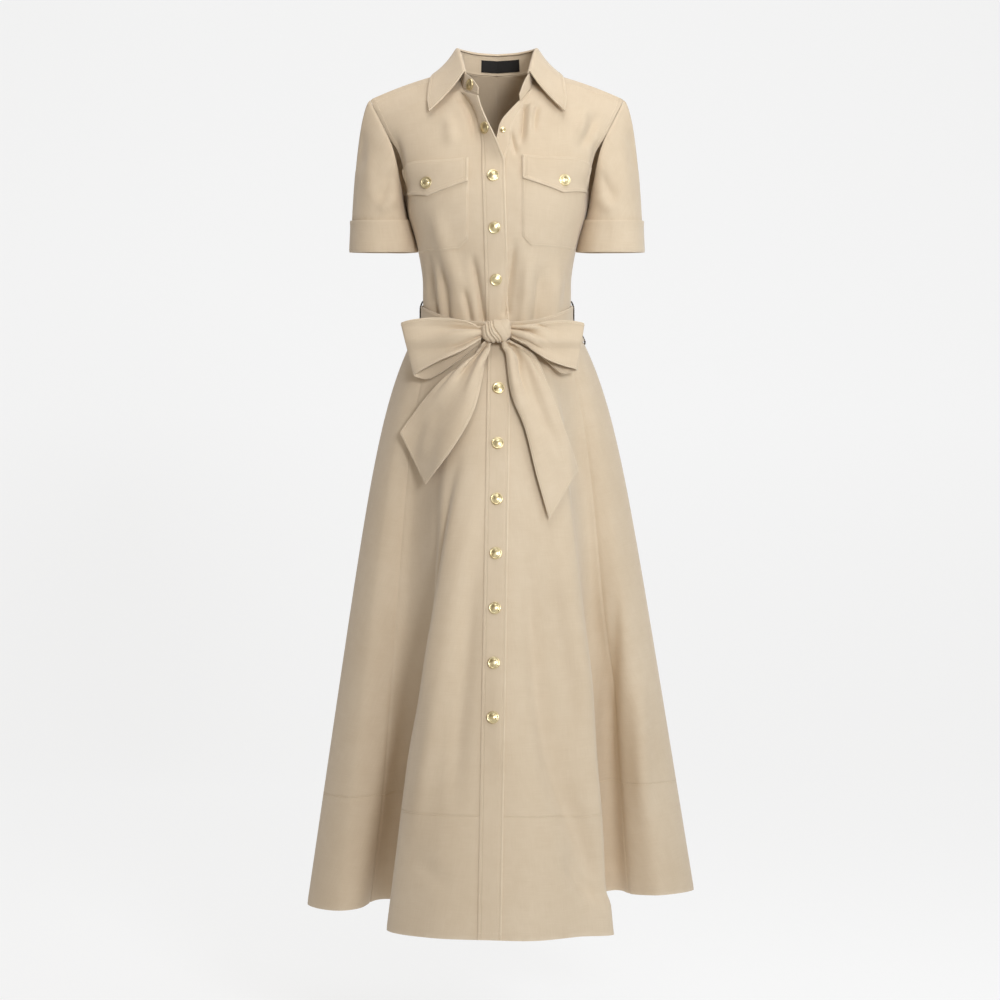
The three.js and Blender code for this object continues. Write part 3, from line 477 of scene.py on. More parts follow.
# Skirt
SKIRT_LINES = table(
    "waist x y lift",
    (-1, -10, -282, -2),
    (9, -90, -264, -2),
    (15, -151, -204, -2),
    (27, -124, -118, 3),
    (42, -150, -26, 3),
    (60, -230, -48, -1),
    (82, -277, 4, 0),
    (100, -244, 62, 5),
    (117, -162, 94, 3),
    (136, -172, 200, 0),
    (158, -80, 252, 0),
    (180, 0, 232, 0),
    (202, 82, 254, 0),
    (224, 172, 206, 0),
    (243, 166, 118, 5),
    (260, 240, 104, 14),
    (278, 291, 46, 15),
    (300, 240, -14, 16),
    (316, 164, 10, 12),
    (325, 142, -104, 5),
    (333, 167, -198, -7),
    (343, 112, -238, -5),
    (352, 52, -276, -4),
)
COUNT = len(SKIRT_LINES["x"])
SIDE_SEAMS = dict(right=4.35, left=17.6)
HIP = dict(spread=1.42, tuck=0.296, length=85)


def skirt_line(i, s):
    i = np.mod(i, COUNT)
    waist = waist_point(np.radians(SKIRT_LINES["waist"][i]))
    tuck = 1 - HIP["tuck"] * np.exp(-s * SKIRT_DROP / HIP["length"])
    x = lerp(waist[..., 0] * HIP["spread"], SKIRT_LINES["x"][i], s) * tuck
    y = lerp(waist[..., 1] * HIP["spread"], SKIRT_LINES["y"][i], s) * tuck
    return vec(x, y, lerp(waist[..., 2] - 0.3, HEM_HEIGHT + SKIRT_LINES["lift"][i], s))


def skirt_surface(a, s):
    a, s = np.broadcast_arrays(a, s)
    i = np.floor(a).astype(int)
    p = [skirt_line(i + k, s) for k in (-1, 0, 1, 2)]
    return cubic(*p, (a - i)[..., None])


def skirt_along(distance, s):
    """Where a row of the skirt is a given distance along the cloth from centre front."""
    a = np.linspace(-3, 3, 361)
    far = walked(skirt_surface(a[None, :], s[:, :1]))
    return interp_rows(distance + 0 * s, far - far[:, 180:181], a)


def skirt_panel(first, last):
    def surface(u, s):
        u, s = np.broadcast_arrays(u, s)
        start = skirt_along(first + 0 * s, s) if abs(first) > 4.9 else first
        return skirt_surface(lerp(start, last, u), s)

    return surface


def skirt_back(u, s):
    return skirt_surface(lerp(SIDE_SEAMS["right"], SIDE_SEAMS["left"], u), s)


def skirt_under(u, s):
    u, s = np.broadcast_arrays(u, s)
    return skirt_surface(skirt_along(lerp(9.5, -PLACKET_WIDTH / 2 + 5, u), s), s)


# Placket
OPEN_EDGE = table(
    "v x y z",
    (0.62, 11.5, -120, -156),
    (0.68, 6, -121, -136),
    (0.74, -2, -119, -115),
    (0.81, -14, -113, -90),
    (0.87, -22, -104, -70),
    (COLLAR_CORNER, -27, -95, -52),
)
open_edge = curve_of(OPEN_EDGE, "v")


def on_front_at(word, x, v, by):
    ts = np.linspace(0, 0.7, 211)
    sign = 1 if word == "left" else -1
    xs = FRONTS[word](ts[None, :], v[:, :1])[..., 0] * sign
    return lifted(FRONTS[word], interp_rows(x, xs, ts), v, by)


def bodice_placket(w, v):
    w, v = np.broadcast_arrays(w, v)
    seam_x = -front_edge["right"](v) - PLACKET_OVERLAP
    x = seam_x + w * PLACKET_WIDTH
    opened = lerp(on_front_at("right", -seam_x, v, ON_PANEL), open_edge(v), w[..., None])
    on_left = on_front_at("left", x, v, ON_PANEL)
    on_right = on_front_at("right", -x, v, ON_PANEL)
    closed = np.where((x > front_edge["left"](v))[..., None], on_left, on_right)
    return lerp(closed, opened, smooth((v - 0.6) / 0.1)[..., None])


def skirt_placket(w, s):
    w, s = np.broadcast_arrays(w, s)
    a = skirt_along(lerp(PLACKET_WIDTH / 2, -PLACKET_WIDTH / 2, w), s)
    return lifted(skirt_surface, a, s, ON_PANEL)


# Pockets
POCKET = dict(width=112, height=129, corner=13)
FLAP = dict(width=120, end=35, point=52, rise=17, droop=4, lift=1.3)
POCKET_PLACE = dict(right=dict(inner=40.5, top=-143), left=dict(inner=35.7, top=-139))


def on_front(word, across, down):
    """The place on a front panel so far across and down from the flap's top inner corner, for two columns."""
    vs = np.linspace(0, COLLAR_CORNER, 400)
    v = np.interp(POCKET_PLACE[word]["top"] - down, front_edge["z"](vs), vs)
    ts = np.linspace(0, 0.6, 181)
    xs = np.abs(FRONTS[word](ts[None, :], v)[..., 0])
    start = interp_rows(POCKET_PLACE[word]["inner"] + 0 * v, xs, ts)
    return along_front(word, v, start, across), v


def flat_top(across):
    return 0 * across


def pocket_surface(word, width, bottom, by, top=flat_top):
    def surface(a, b):
        a, b = np.broadcast_arrays(a, b)
        across = a.reshape(-1, 1) * width
        u, v = on_front(word, across, lerp(top(across), bottom(across), b.reshape(-1, 1)))
        return lifted(FRONTS[word], u, v, by).reshape(*a.shape, 3)

    return surface


def pocket_bottom(across):
    from_corner = np.minimum(across, POCKET["width"] - across)
    return POCKET["height"] - np.maximum(0, POCKET["corner"] - from_corner)


def flap_bottom(across):
    point = lerp(FLAP["point"], FLAP["end"], np.abs(across / FLAP["width"] - 0.5) * 2)
    return point + FLAP["droop"] * smooth(across / FLAP["width"] * 2 - 1)


def flap_top(across):
    return -FLAP["rise"] * smooth(across / FLAP["width"] * 1.2 - 0.2)


# Sash
BAND = table(
    "angle low high out",
    (0, -400, -376, 6.0),
    (25, -401, -372, 5.6),
    (60, -401, -356, 2.8),
    (90, -397, -345, 2.6),
    (140, -389, -337, 2.6),
    (180, -385, -334, 2.6),
)
RISE = 0.0012
band = columns(BAND, "angle")


def body_at(angle, z):
    p = waist_point(np.radians(angle))
    drop = p[..., 2] - z
    above = vec(p[..., 0], p[..., 1] * (1 - RISE * drop), z)
    lines = np.append(SKIRT_LINES["waist"], 359)
    q = skirt_surface(np.interp(angle, lines, np.arange(COUNT + 1.0)), np.maximum(drop, 0) / SKIRT_DROP)
    below = vec(q[..., 0], q[..., 1], z)
    return np.where((drop <= 0)[..., None], above, below)


def band_surface(u, h):
    u, h = np.broadcast_arrays(u, h)
    angle = np.mod(u, 1) * 360
    from_front = np.minimum(angle, 360 - angle)
    z = lerp(band["low"](from_front), band["high"](from_front), h)
    p = body_at(angle, z)
    pleat = 0.7 * np.cos(h * 4 * math.pi) * hump(from_front / 70)
    out = band["out"](from_front) + pleat + 0.5 * np.sin(7 * h + angle / 17) * np.sin(angle / 29)
    return p + unit(vec(p[..., 0], p[..., 1], 0)) * out[..., None]


KNOT = dict(x=-1, y=-122.6, z=-391, half_width=21, half_depth=13.5, half_height=16.5)
WRAPS = [
    dict(across=-0.64, deep=0.11, wide=0.05),
    dict(across=-0.36, deep=0.19, wide=0.055),
    dict(across=-0.18, deep=0.11, wide=0.035),
    dict(across=0.02, deep=0.16, wide=0.05),
    dict(across=0.5, deep=0.035, wide=0.12),
]
KNOT_BUMP = dict(toward=np.array([0.62, -0.2, 0.76]), out=0.24, wide=0.4)
REST = dict(wings=74, band=8, bridge=12)


def body_depth(x, z):
    """How far forward the skirt and the sash's band reach at places given as flat lists."""
    drop = np.maximum(0, WAIST["height"] - WAIST["dip"] - z)
    s = (drop / SKIRT_DROP)[:, None]
    ts = np.linspace(0, 1, 121)
    skirt = skirt_surface(ts[None, :] * np.where(x < 0, 4, -4)[:, None], s)

    def depth_at(far):
        a = interp_rows(far[:, None], np.abs(skirt[..., 0]), ts)
        return np.array([-np.interp(t, ts, row) for t, row in zip(a[:, 0], skirt[..., 1])])

    depth = np.maximum(depth_at(np.abs(x)), depth_at(np.abs(x) - REST["bridge"]))
    depth = depth + 1.4 + REST["band"] * smooth((z + 416) / 14)
    return (depth + REST["wings"] + np.hypot(depth - REST["wings"], 8)) / 2


def blurred(rows, reach):
    """Rows averaged over their neighbours with soft weights."""
    weights = hump(np.linspace(-2, 2, 2 * reach + 1))
    padded = np.pad(rows, ((0, 0), (reach, reach)), mode="edge")
    return np.array([np.convolve(row, weights / weights.sum(), mode="valid") for row in padded])


REST_STEP = (3, 4)  # across and up
REST_X, REST_Z = np.arange(-168, 169, float(REST_STEP[0])), np.arange(-690, -354, float(REST_STEP[1]))


def make_rest():
    """The bow's resting depth on a grid, with the hollow beside the body bridged by a soft slope."""
    x, z = np.meshgrid(REST_X, REST_Z)
    depth = body_depth(x.ravel(), z.ravel()).reshape(x.shape)
    return blurred(np.maximum(depth, blurred(depth, 14)), 3)


REST_DEPTH = make_rest()


def rest_depth(x, z):
    """How far forward the bow's pieces rest."""
    i = np.clip((x - REST_X[0]) / REST_STEP[0], 0, len(REST_X) - 1.001)
    k = np.clip((z - REST_Z[0]) / REST_STEP[1], 0, len(REST_Z) - 1.001)
    i0, k0 = i.astype(int), k.astype(int)
    low = lerp(REST_DEPTH[k0, i0], REST_DEPTH[k0, i0 + 1], i - i0)
    high = lerp(REST_DEPTH[k0 + 1, i0], REST_DEPTH[k0 + 1, i0 + 1], i - i0)
    return lerp(low, high, k - k0)


LOOPS = dict(
    right=table(
        "x top low slant out gather",
        (-22.4, -384, -402, 0, 15, 1.4),
        (-48, -375, -418, 0, 19, 2.4),
        (-84, -370, -433, 1, 22, 1.4),
        (-112, -372, -445, 5, 20, 0.6),
        (-126, -376, -451, 9, 13, 0),
        (-120, -378, -455, 9, 7.4, 0),
        (-98, -380, -456, 4, 6.4, 0),
        (-62, -385, -437, 0, 6.4, 0.4),
        (-23, -388, -406, 0, 6, 0.4),
    ),
    left=table(
        "x top low slant out gather",
        (20.6, -383, -398, 0, 15, 1),
        (43, -383, -411, 0, 19, 2.4),
        (70, -376, -430, 1, 21, 1.6),
        (96, -374, -439, 3, 19, 0.8),
        (117, -377, -444, 5, 13, 0),
        (112, -380, -447, 5, 7.4, 0),
        (93, -382, -448, 3, 6.4, 0),
        (56, -386, -420, 0, 6.4, 0.4),
        (21.5, -389, -402, 0, 6, 0.4),
    ),
)
TAILS = dict(
    right=table(
        "lx lz rx rz out gather",
        (-18, -404.4, -8, -407, 9, 0.6),
        (-43.7, -431, -19, -434, 8, 2.2),
        (-69, -450, -20, -452, 8, 3.4),
        (-101.7, -485, -32.4, -503.6, 7, 2.6),
        (-122.9, -512, -59.2, -553, 6, 1.4),
        (-138.4, -533, -100.8, -607, 5, 0.6),
    ),
    left=table(
        "lx lz rx rz out gather",
        (7, -406.6, 17.5, -402.2, 9, 0.6),
        (14, -424, 44, -416, 9, 2.2),
        (15.5, -442, 58, -432, 9, 3.4),
        (21.4, -482, 76.5, -476.7, 8, 3.6),
        (39.8, -530, 92, -519, 7, 2.8),
        (55.3, -594, 104.8, -556, 6, 1.6),
        (72.7, -656, 114.7, -587, 5, 0.6),
    ),
)


def counted(rows):
    """The columns of a table as smooth functions of a share of its rows."""
    index = np.arange(len(rows["out"]), dtype=float)
    found = columns({**rows, "row": index}, "row")
    return {key: (lambda t, f=f: f(t * index[-1])) for key, f in found.items()}


def loop_surface(word):
    at = counted(LOOPS[word])

    def surface(t, h):
        t, h = np.broadcast_arrays(t, h)
        z = lerp(at["low"](t), at["top"](t), h)
        x = at["x"](t)
        x = x + np.sign(x) * at["slant"](t) * (2 * h - 1)
        y = -rest_depth(x.ravel(), z.ravel()).reshape(x.shape) - at["out"](t)
        return vec(x, y - at["gather"](t) * np.cos(4 * math.pi * h), z)

    return surface


def tail_surface(word):
    at = counted(TAILS[word])

    def surface(h, t):
        h, t = np.broadcast_arrays(h, t)
        x = lerp(at["lx"](t), at["rx"](t), h)
        z = lerp(at["lz"](t), at["rz"](t), h)
        y = -rest_depth(x.ravel(), z.ravel()).reshape(x.shape) - at["out"](t)
        return vec(x, y - at["gather"](t) * np.sin(3 * math.pi * h), z)

    return surface


# Creases: soft troughs and ridges, each along a line given by its places across and up, in millimetres.
# "deep" is how far its middle moves (below 0 is a trough), "tilt" lifts one flank and sinks the other.
def crease(points, deep, wide, tilt=0.0, ends=(0.35, 0.35)):
    points = np.array(points, float)
    if len(points) > 2:
        t = np.linspace(0, len(points) - 1, 6 * len(points))
        padded = np.vstack([2 * points[0] - points[1], points, 2 * points[-1] - points[-2]])
        i = np.minimum(t.astype(int), len(points) - 2)
        points = cubic(padded[i], padded[i + 1], padded[i + 2], padded[i + 3], (t - i)[:, None])
    return dict(points=points, deep=deep, wide=wide, tilt=tilt, ends=ends)


def relief(creases, x, z):
    """How far the creases move the cloth out at each place."""
    out = np.zeros(x.shape)
    for c in creases:
        line, wide = c["points"], c["wide"]
        low, high = line.min(axis=0) - 3 * wide, line.max(axis=0) + 3 * wide
        near = (x > low[0]) & (x < high[0]) & (z > low[1]) & (z < high[1])
        if not near.any():
            continue
        place = np.stack([x[near], z[near]], axis=-1)
        best = np.full(len(place), np.inf)
        side = np.zeros(len(place))
        along = np.zeros(len(place))
        steps = np.linalg.norm(np.diff(line, axis=0), axis=1)
        gone = np.concatenate([[0], np.cumsum(steps)])
        for k, step in enumerate(steps):
            d = (line[k + 1] - line[k]) / step
            rel = place - line[k]
            t = np.clip(rel @ d, 0, step)
            off = rel - t[:, None] * d
            dist = np.linalg.norm(off, axis=1)
            nearer = dist < best
            best = np.where(nearer, dist, best)
            side = np.where(nearer, np.sign(d[0] * rel[:, 1] - d[1] * rel[:, 0]), side)
            along = np.where(nearer, (gone[k] + t) / gone[-1], along)
        fade = np.ones(len(place))
        if c["ends"][0] > 0:
            fade = fade * smooth(along / c["ends"][0])
        if c["ends"][1] > 0:
            fade = fade * smooth((1 - along) / c["ends"][1])
        r = best / wide
        out[near] += fade * hump(r) * (c["deep"] + c["tilt"] * side * r)
    return out


FRONT_CREASES = [
    crease([(41, -63), (39, -92), (33, -134)], -8, 5.7, 2.2, (0.05, 0.5)),
    crease([(49, -60), (47, -90), (44, -128)], 4.2, 5.7, 0, (0.1, 0.5)),
    crease([(58, -62), (54, -90), (52, -112)], -5.2, 4.8, 1.2, (0.1, 0.5)),
    crease([(20, -100), (24, -120), (30, -142)], -5.9, 4.3, 1.8),
    crease([(144, -68), (138, -92), (124, -118), (104, -134)], -5.9, 8.5, 1.6, (0.2, 0.5)),
    crease([(126, -62), (122, -90), (112, -112)], 3.8, 8.5),
    crease([(-56, -44), (-42, -66), (-33, -96), (-30, -128)], -7.3, 6.6, 1.6, (0.1, 0.5)),
    crease([(-72, -74), (-66, -100), (-64, -130)], 3.5, 9.5),
    crease([(-152, -92), (-143, -132), (-134, -186), (-127, -226)], -7.7, 7.6, 0, (0.3, 0.4)),
    crease([(152, -92), (144, -132), (135, -186), (128, -226)], -6.6, 7.6, 0, (0.3, 0.4)),
    crease([(-92, -206), (-78, -262), (-56, -336)], 6.2, 11.4, 1.4),
    crease([(-100, -268), (-94, -310), (-88, -372)], -5.9, 5.7, 1.4, (0.4, 0)),
    crease([(-82, -280), (-75, -324), (-70, -372)], -5.5, 5.7, 1.6, (0.4, 0)),
    crease([(-36, -272), (-27, -324), (-19, -372)], -7, 5.7, 1.8, (0.4, 0)),
    crease([(-48, -322), (-42, -350), (-38, -372)], -5.2, 4.8, 1.4, (0.4, 0)),
    crease([(27, -252), (20, -306), (14, -360)], -7.3, 6.6, 1.6, (0.4, 0)),
    crease([(46, -270), (42, -322), (36, -372)], 4.9, 8.5, 0, (0.4, 0)),
    crease([(62, -292), (58, -330), (54, -372)], -4.9, 6.6, -1.4, (0.4, 0)),
    crease([(92, -282), (84, -330), (78, -372)], 4.6, 8.5, 1.2, (0.4, 0)),
]
BACK_CREASES = [
    crease([(-60, -250), (-48, -310), (-40, -360)], -4.4, 9, 1.8, (0.5, 0)),
    crease([(-22, -280), (-18, -320), (-14, -360)], 3.4, 7, 1.4, (0.5, 0)),
    crease([(14, -262), (12, -315), (8, -360)], -4.2, 8, -1.6, (0.5, 0)),
    crease([(52, -236), (46, -300), (36, -360)], 4.4, 10, 1.6, (0.5, 0)),
    crease([(86, -270), (78, -320), (70, -356)], -3.6, 8, 1.4, (0.5, 0)),
    crease([(-126, -112), (-100, -146), (-58, -172)], -3.6, 13),
    crease([(128, -120), (104, -158), (64, -188)], -3.4, 12),
    crease([(-40, -70), (-34, -120), (-36, -168)], 2.3, 14),
    crease([(58, -84), (50, -130), (54, -186)], -2.3, 12),
]
FOLD_LINE = [(-43, -540), (-55, -580), (-71, -640), (-87, -730), (-108, -860), (-134, -1010)]
FOLD_RIDGE = [(-22, -560), (-34, -640), (-52, -740), (-74, -860), (-100, -1010), (-120, -1120)]
SWEEP = [(36, -640), (52, -790), (62, -900), (82, -1000), (116, -1090), (146, -1196)]
SKIRT_CREASES = [
    crease(FOLD_LINE, -10, 9, 3, (0.3, 0.3)),
    crease(FOLD_RIDGE, 6.5, 14, 0, (0.3, 0.2)),
    crease(SWEEP, -12.1, 17, 3.5, (0.35, 0.12)),
    crease([(76, -640), (98, -780), (118, -890), (136, -1000)], 9.7, 17, 2.0, (0.35, 0.4)),
    crease([(-46, -560), (-60, -650), (-76, -760), (-98, -880), (-110, -980)], 6.4, 15, 2.0),
    crease([(-28, -700), (-38, -830), (-50, -960), (-58, -1080)], -4.8, 14, 1.6),
    crease([(6, -820), (4, -930), (10, -1040)], 3.2, 16),
    crease([(92, -1105), (112, -1150), (150, -1186)], -7.2, 9, 2.0),
    crease([(-118, -1108), (-84, -1142), (-50, -1156)], -1.8, 13),
    crease([(178, -700), (170, -850), (164, -1000), (166, -1190)], -8.9, 11, 3.0, (0.4, 0.05)),
    crease([(204, -860), (208, -980), (214, -1120)], 5.5, 13, 1.2),
    crease([(-58, -455), (-66, -500), (-76, -560)], -5.2, 9, 1.4),
    crease([(72, -470), (92, -540), (110, -620)], 4.8, 13, 1.4),
    crease([(102, -440), (126, -520), (146, -610)], -4.8, 11, 1.4),
]
SKIRT_BACK_CREASES = [
    crease([(-70, -500), (-96, -700), (-120, -900), (-128, -1120)], -8, 18, 3.5),
    crease([(-24, -520), (-34, -720), (-40, -900), (-44, -1060)], 5.5, 17, 2.0),
    crease([(30, -540), (44, -720), (60, -900), (66, -1100)], -7, 16, -3.0),
    crease([(96, -600), (130, -820), (146, -1000), (150, -1190)], 6, 16, 2.6),
    crease([(-160, -640), (-196, -820), (-214, -1000)], 4.5, 15, 2.0),
    crease([(-190, -1080), (-170, -1130), (-140, -1150)], -4, 11, 1.6),
    crease([(176, -700), (206, -860), (222, -1020), (226, -1180)], -5, 13, 2.0),
]
# The hollows behind the front's two deep folds
HOLLOW_CREASES = [
    crease([(-50, -620), (-70, -730), (-97, -870), (-127, -1040), (-166, -1250)], -38, 24, 0, (0.4, 0)),
    crease([(112, -700), (146, -830), (160, -1000), (173, -1220)], -22, 16, 0, (0.5, 0)),
]
LOOP_CREASES = [
    crease([(22, -377), (50, -379), (90, -391)], -3, 2.6, 0.6, (0, 0.6)),
    crease([(21, -382), (52, -385), (94, -399)], 3, 3.2, 0, (0, 0.6)),
    crease([(20, -387), (52, -392), (84, -413)], -4.3, 2.8, 0.8, (0, 0.6)),
    crease([(20, -391), (48, -401), (76, -422)], 3.2, 2.8, 0, (0, 0.6)),
    crease([(19, -394), (42, -408), (68, -431)], -4, 2.8, 0.8, (0, 0.6)),
    crease([(-22, -388), (-59, -386), (-96, -390)], -4.3, 3.2, 1.0, (0, 0.6)),
    crease([(-22, -392), (-60, -396), (-104, -402)], 2.9, 4.5, 0, (0, 0.6)),
    crease([(-22, -397), (-48, -409), (-82, -421)], -3.6, 3.6, 0.8, (0, 0.6)),
    crease([(-22, -384), (-52, -378), (-80, -376)], -2.5, 2.6, 0.6, (0, 0.6)),
]
TAIL_CREASES = [
    crease([(-14, -408), (-38, -436), (-60, -470)], -4.7, 3.8, 1.0, (0, 0.6)),
    crease([(-24, -414), (-52, -436), (-80, -470), (-100, -500)], -3.5, 3.4, 0.8, (0, 0.6)),
    crease([(-12, -416), (-28, -446), (-48, -490)], 3.5, 3.6, 0, (0, 0.6)),
    crease([(16, -408), (30, -424), (35, -455), (48, -505)], -5.1, 3.8, 1.2, (0, 0.6)),
    crease([(20, -408), (43, -420), (56, -440), (72, -478)], -4.3, 3.8, 1.0, (0, 0.6)),
    crease([(12, -412), (19, -424), (24, -462), (36, -520)], 3.9, 4, 0, (0, 0.6)),
    crease([(60, -520), (74, -560), (88, -600)], 3.5, 9, 0.6),
    crease([(-84, -500), (-98, -540), (-108, -580)], 3.5, 10, 0.6),
]


def bodice_relief(p):
    x, y, z = p[..., 0], p[..., 1], p[..., 2]
    front = relief(FRONT_CREASES, x, z)
    back = relief(BACK_CREASES, x, z)
    return np.where(y < 0, front * smooth(-y / 25), back * smooth(y / 25))


HOLLOW_LINES = dict(right=2.6, left=20.35)


def behind_fold(p):
    """1 on the cloth that lies behind the front's deep folds, 0 on the cloth in front of them."""
    s = np.linspace(0, 1, 60)[:, None]
    depth = {}
    for word, line in HOLLOW_LINES.items():
        edge = skirt_surface(line + 0 * s, s)[:, 0]
        depth[word] = np.interp(-p[..., 2], -edge[:, 2], edge[:, 1])
    limit = np.where(p[..., 0] < 0, depth["right"], depth["left"])
    return smooth((p[..., 1] - limit) / 30)


def skirt_relief(p):
    x, y, z = p[..., 0], p[..., 1], p[..., 2]
    behind = behind_fold(p)
    front = relief(SKIRT_CREASES, x, z) * (1 - behind * (x < 150)) + relief(HOLLOW_CREASES, x, z) * behind
    back = relief(SKIRT_BACK_CREASES, x, z)
    return np.where(y < 70, front * smooth((70 - y) / 50), back * smooth((y - 70) / 50))


def loop_relief(p):
    x, z = p[..., 0], p[..., 2]
    depth = rest_depth(x.ravel(), z.ravel()).reshape(x.shape)
    return relief(LOOP_CREASES, x, z) * smooth((-p[..., 1] - depth - 10) / 3)


def tail_relief(p):
    return relief(TAIL_CREASES, p[..., 0], p[..., 2])


def no_relief(p):
    return np.zeros(p.shape[:-1])


# Cloth pieces
class Cloth:
    """One piece of cloth as a grid of points, with its outward normals and its distances from each edge."""

    def __init__(self, surface, us, vs, outward=from_axis, relief_of=no_relief, closed=False):
        self.closed = closed
        us, vs = np.asarray(us, float), np.asarray(vs, float)
        self.set_grid(surface(us[None, :], vs[:, None]), outward, relief_of)

    def set_grid(self, grid, outward, relief_of):
        self.normals = self.normals_of(grid, outward)
        self.grid = grid + self.normals * relief_of(grid)[..., None]
        self.normals = self.normals_of(self.grid, outward)
        across = walked(self.grid)
        down = walked(np.swapaxes(self.grid, 0, 1)).T
        self.across, self.down = across, down
        self.edge = dict(left=across, right=across[:, -1:] - across, start=down, end=down[-1:] - down)

    def normals_of(self, grid, outward):
        if self.closed:
            du = np.roll(grid, -1, axis=1) - np.roll(grid, 1, axis=1)
        else:
            du = np.gradient(grid, axis=1)
        n = unit(np.cross(du, np.gradient(grid, axis=0)))
        return -n if np.sum(n * outward(grid)) < 0 else n

    def dipped(self, dips):
        """How far the face sinks towards the edges named in dips, each with its depth and width."""
        out = np.zeros(self.grid.shape[:-1])
        for name, (deep, wide) in dips.items():
            out = out - deep * hump(self.edge[name] / wide)
        return out

    def line(self, edge, distance, offset, first=0):
        """The places on the face that are one distance from an edge, from one row or column on."""
        far = self.edge[edge]
        points, normals = [], []
        rows = edge in ("left", "right")
        for k in range(first, far.shape[0] if rows else far.shape[1]):
            f = far[k] if rows else far[:, k]
            p = self.grid[k] if rows else self.grid[:, k]
            n = self.normals[k] if rows else self.normals[:, k]
            if f[0] > f[-1]:
                f, p, n = f[::-1], p[::-1], n[::-1]
            if f[-1] < distance:
                continue
            q = np.array([np.interp(distance, f, p[:, c]) for c in range(3)])
            m = np.array([np.interp(distance, f, n[:, c]) for c in range(3)])
            points.append(q + unit(m) * offset)
            normals.append(unit(m))
        return np.array(points), np.array(normals)

    def make(self, name, inner, outer, material, dips=None, skip=(), thicker=None, grooves=(), worn=None):
        """The piece's mesh: a closed shell between two offsets from its surface."""
        sunk = self.dipped(dips or {})
        for edge, at in grooves:
            sunk = sunk - GROOVE["deep"] * hump((self.edge[edge] - at) / GROOVE["wide"])
        # Painted highlight: the cloth is painted paler close to these edges, where a folded edge catches the
        # light.
        near = [hump(self.edge[edge] / EDGE_HIGHLIGHT_REACH) for edge in (dips or {} if worn is None else worn)]
        edge_highlight = np.max(near, axis=0).ravel() if near else np.zeros(sunk.size)
        rows, cols = self.grid.shape[:2]
        face = (self.grid + self.normals * (outer + sunk)[..., None]).reshape(-1, 3)
        low = inner + sunk if thicker is None else inner + sunk - thicker
        back = (self.grid + self.normals * low[..., None]).reshape(-1, 3)
        quads = grid_quads(rows, cols, self.closed)
        keep = np.ones(quads.shape[1], bool)
        keep[list(skip)] = False
        quads = quads[:, keep].reshape(-1, 4)
        _, first, same = np.unique(np.round(face * 100), axis=0, return_index=True, return_inverse=True)
        quads = first[same.ravel()][quads]
        a = face[quads]
        turn = np.cross(a[:, 2] - a[:, 0], a[:, 3] - a[:, 1])
        flat_normals = self.normals.reshape(-1, 3)
        if np.sum(turn * flat_normals[quads[:, 0]]) < 0:
            quads = quads[:, ::-1]
        count = len(face)
        starts, stops = quads.ravel(), np.roll(quads, -1, axis=1).ravel()
        there = set(zip(starts.tolist(), stops.tolist()))
        rim = [(s, e) for s, e in there if (e, s) not in there and s != e]
        rims = [(s, s + count, e + count, e) for s, e in rim]
        middle = self.across - self.across[:, cols // 2 : cols // 2 + 1]
        uv = np.stack([middle, self.down], axis=-1).reshape(-1, 2) * MM
        faces = np.vstack([quads, quads[:, ::-1] + count, np.array(rims)])
        points, uvs = np.vstack([face, back]), np.vstack([uv, uv])
        return new_mesh(name, points, faces, material, uvs, edge_highlight=np.tile(edge_highlight, 2))


def grid_quads(rows, cols, closed=True):
    """The corners of the faces of a grid of points, whose last column meets the first if it is closed."""
    ids = np.arange(rows * cols).reshape(rows, cols)
    if closed:
        ids = np.concatenate([ids, ids[:, :1]], axis=1)
    return np.stack([ids[:-1, :-1], ids[:-1, 1:], ids[1:, 1:], ids[1:, :-1]], axis=-1)


def tube_faces(rows, cols):
    """The faces of a tube of rings that is closed at both ends."""
    quads = grid_quads(rows, cols).reshape(-1, 4).tolist()
    return [*quads, list(range(cols))[::-1], list(range((rows - 1) * cols, rows * cols))]


def new_mesh(name, points, faces, material, uv=None, sharp=50, edge_highlight=None):
    """A mesh object from points in millimetres, without the points that no face uses."""
    faces = [list(dict.fromkeys(map(int, f))) for f in faces]
    faces = [f for f in faces if len(f) > 2]
    used = np.unique(np.fromiter((i for f in faces for i in f), int))
    place = np.zeros(len(points), int)
    place[used] = np.arange(len(used))
    mesh = bpy.data.meshes.new(name)
    mesh.from_pydata((points[used] * MM).tolist(), [], [[place[i] for i in f] for f in faces])
    mesh.polygons.foreach_set("use_smooth", np.ones(len(mesh.polygons), bool))
    if uv is not None:
        layer = mesh.uv_layers.new(name="cloth")
        corners = np.zeros(len(mesh.loops), int)
        mesh.loops.foreach_get("vertex_index", corners)
        layer.data.foreach_set("uv", uv[used][corners].astype(np.float32).ravel())
    # Stores the painted highlight along sewn edges as a value for each point.
    if edge_highlight is not None:
        mesh.attributes.new("edge_highlight", "FLOAT", "POINT").data.foreach_set("value", edge_highlight[used].astype(np.float32))
    mesh.materials.append(material)
    mesh.update()
    if sharp:
        mesh.set_sharp_from_angle(angle=math.radians(sharp))
    piece = bpy.data.objects.new(name, mesh)
    bpy.context.scene.collection.objects.link(piece)
    return piece


def finish_piece(piece, slot, *nodes):
    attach(piece, "root")
    if nodes:
        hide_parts(*nodes)
    return piece


# Stitches
def stitch_row(points, normals, lift=0.12):
    """The places of the stitches along one line: middles, directions and normals."""
    far = np.concatenate([[0], np.cumsum(np.linalg.norm(np.diff(points, axis=0), axis=1))])
    at = np.arange(STITCH["pitch"] / 2, far[-1], STITCH["pitch"])

    def along(at, values):
        return np.stack([np.interp(at, far, values[:, c]) for c in range(3)], axis=-1)

    n = unit(along(at, normals))
    return along(at, points) + n * lift, unit(along(at + 1, points) - along(at - 1, points)), n


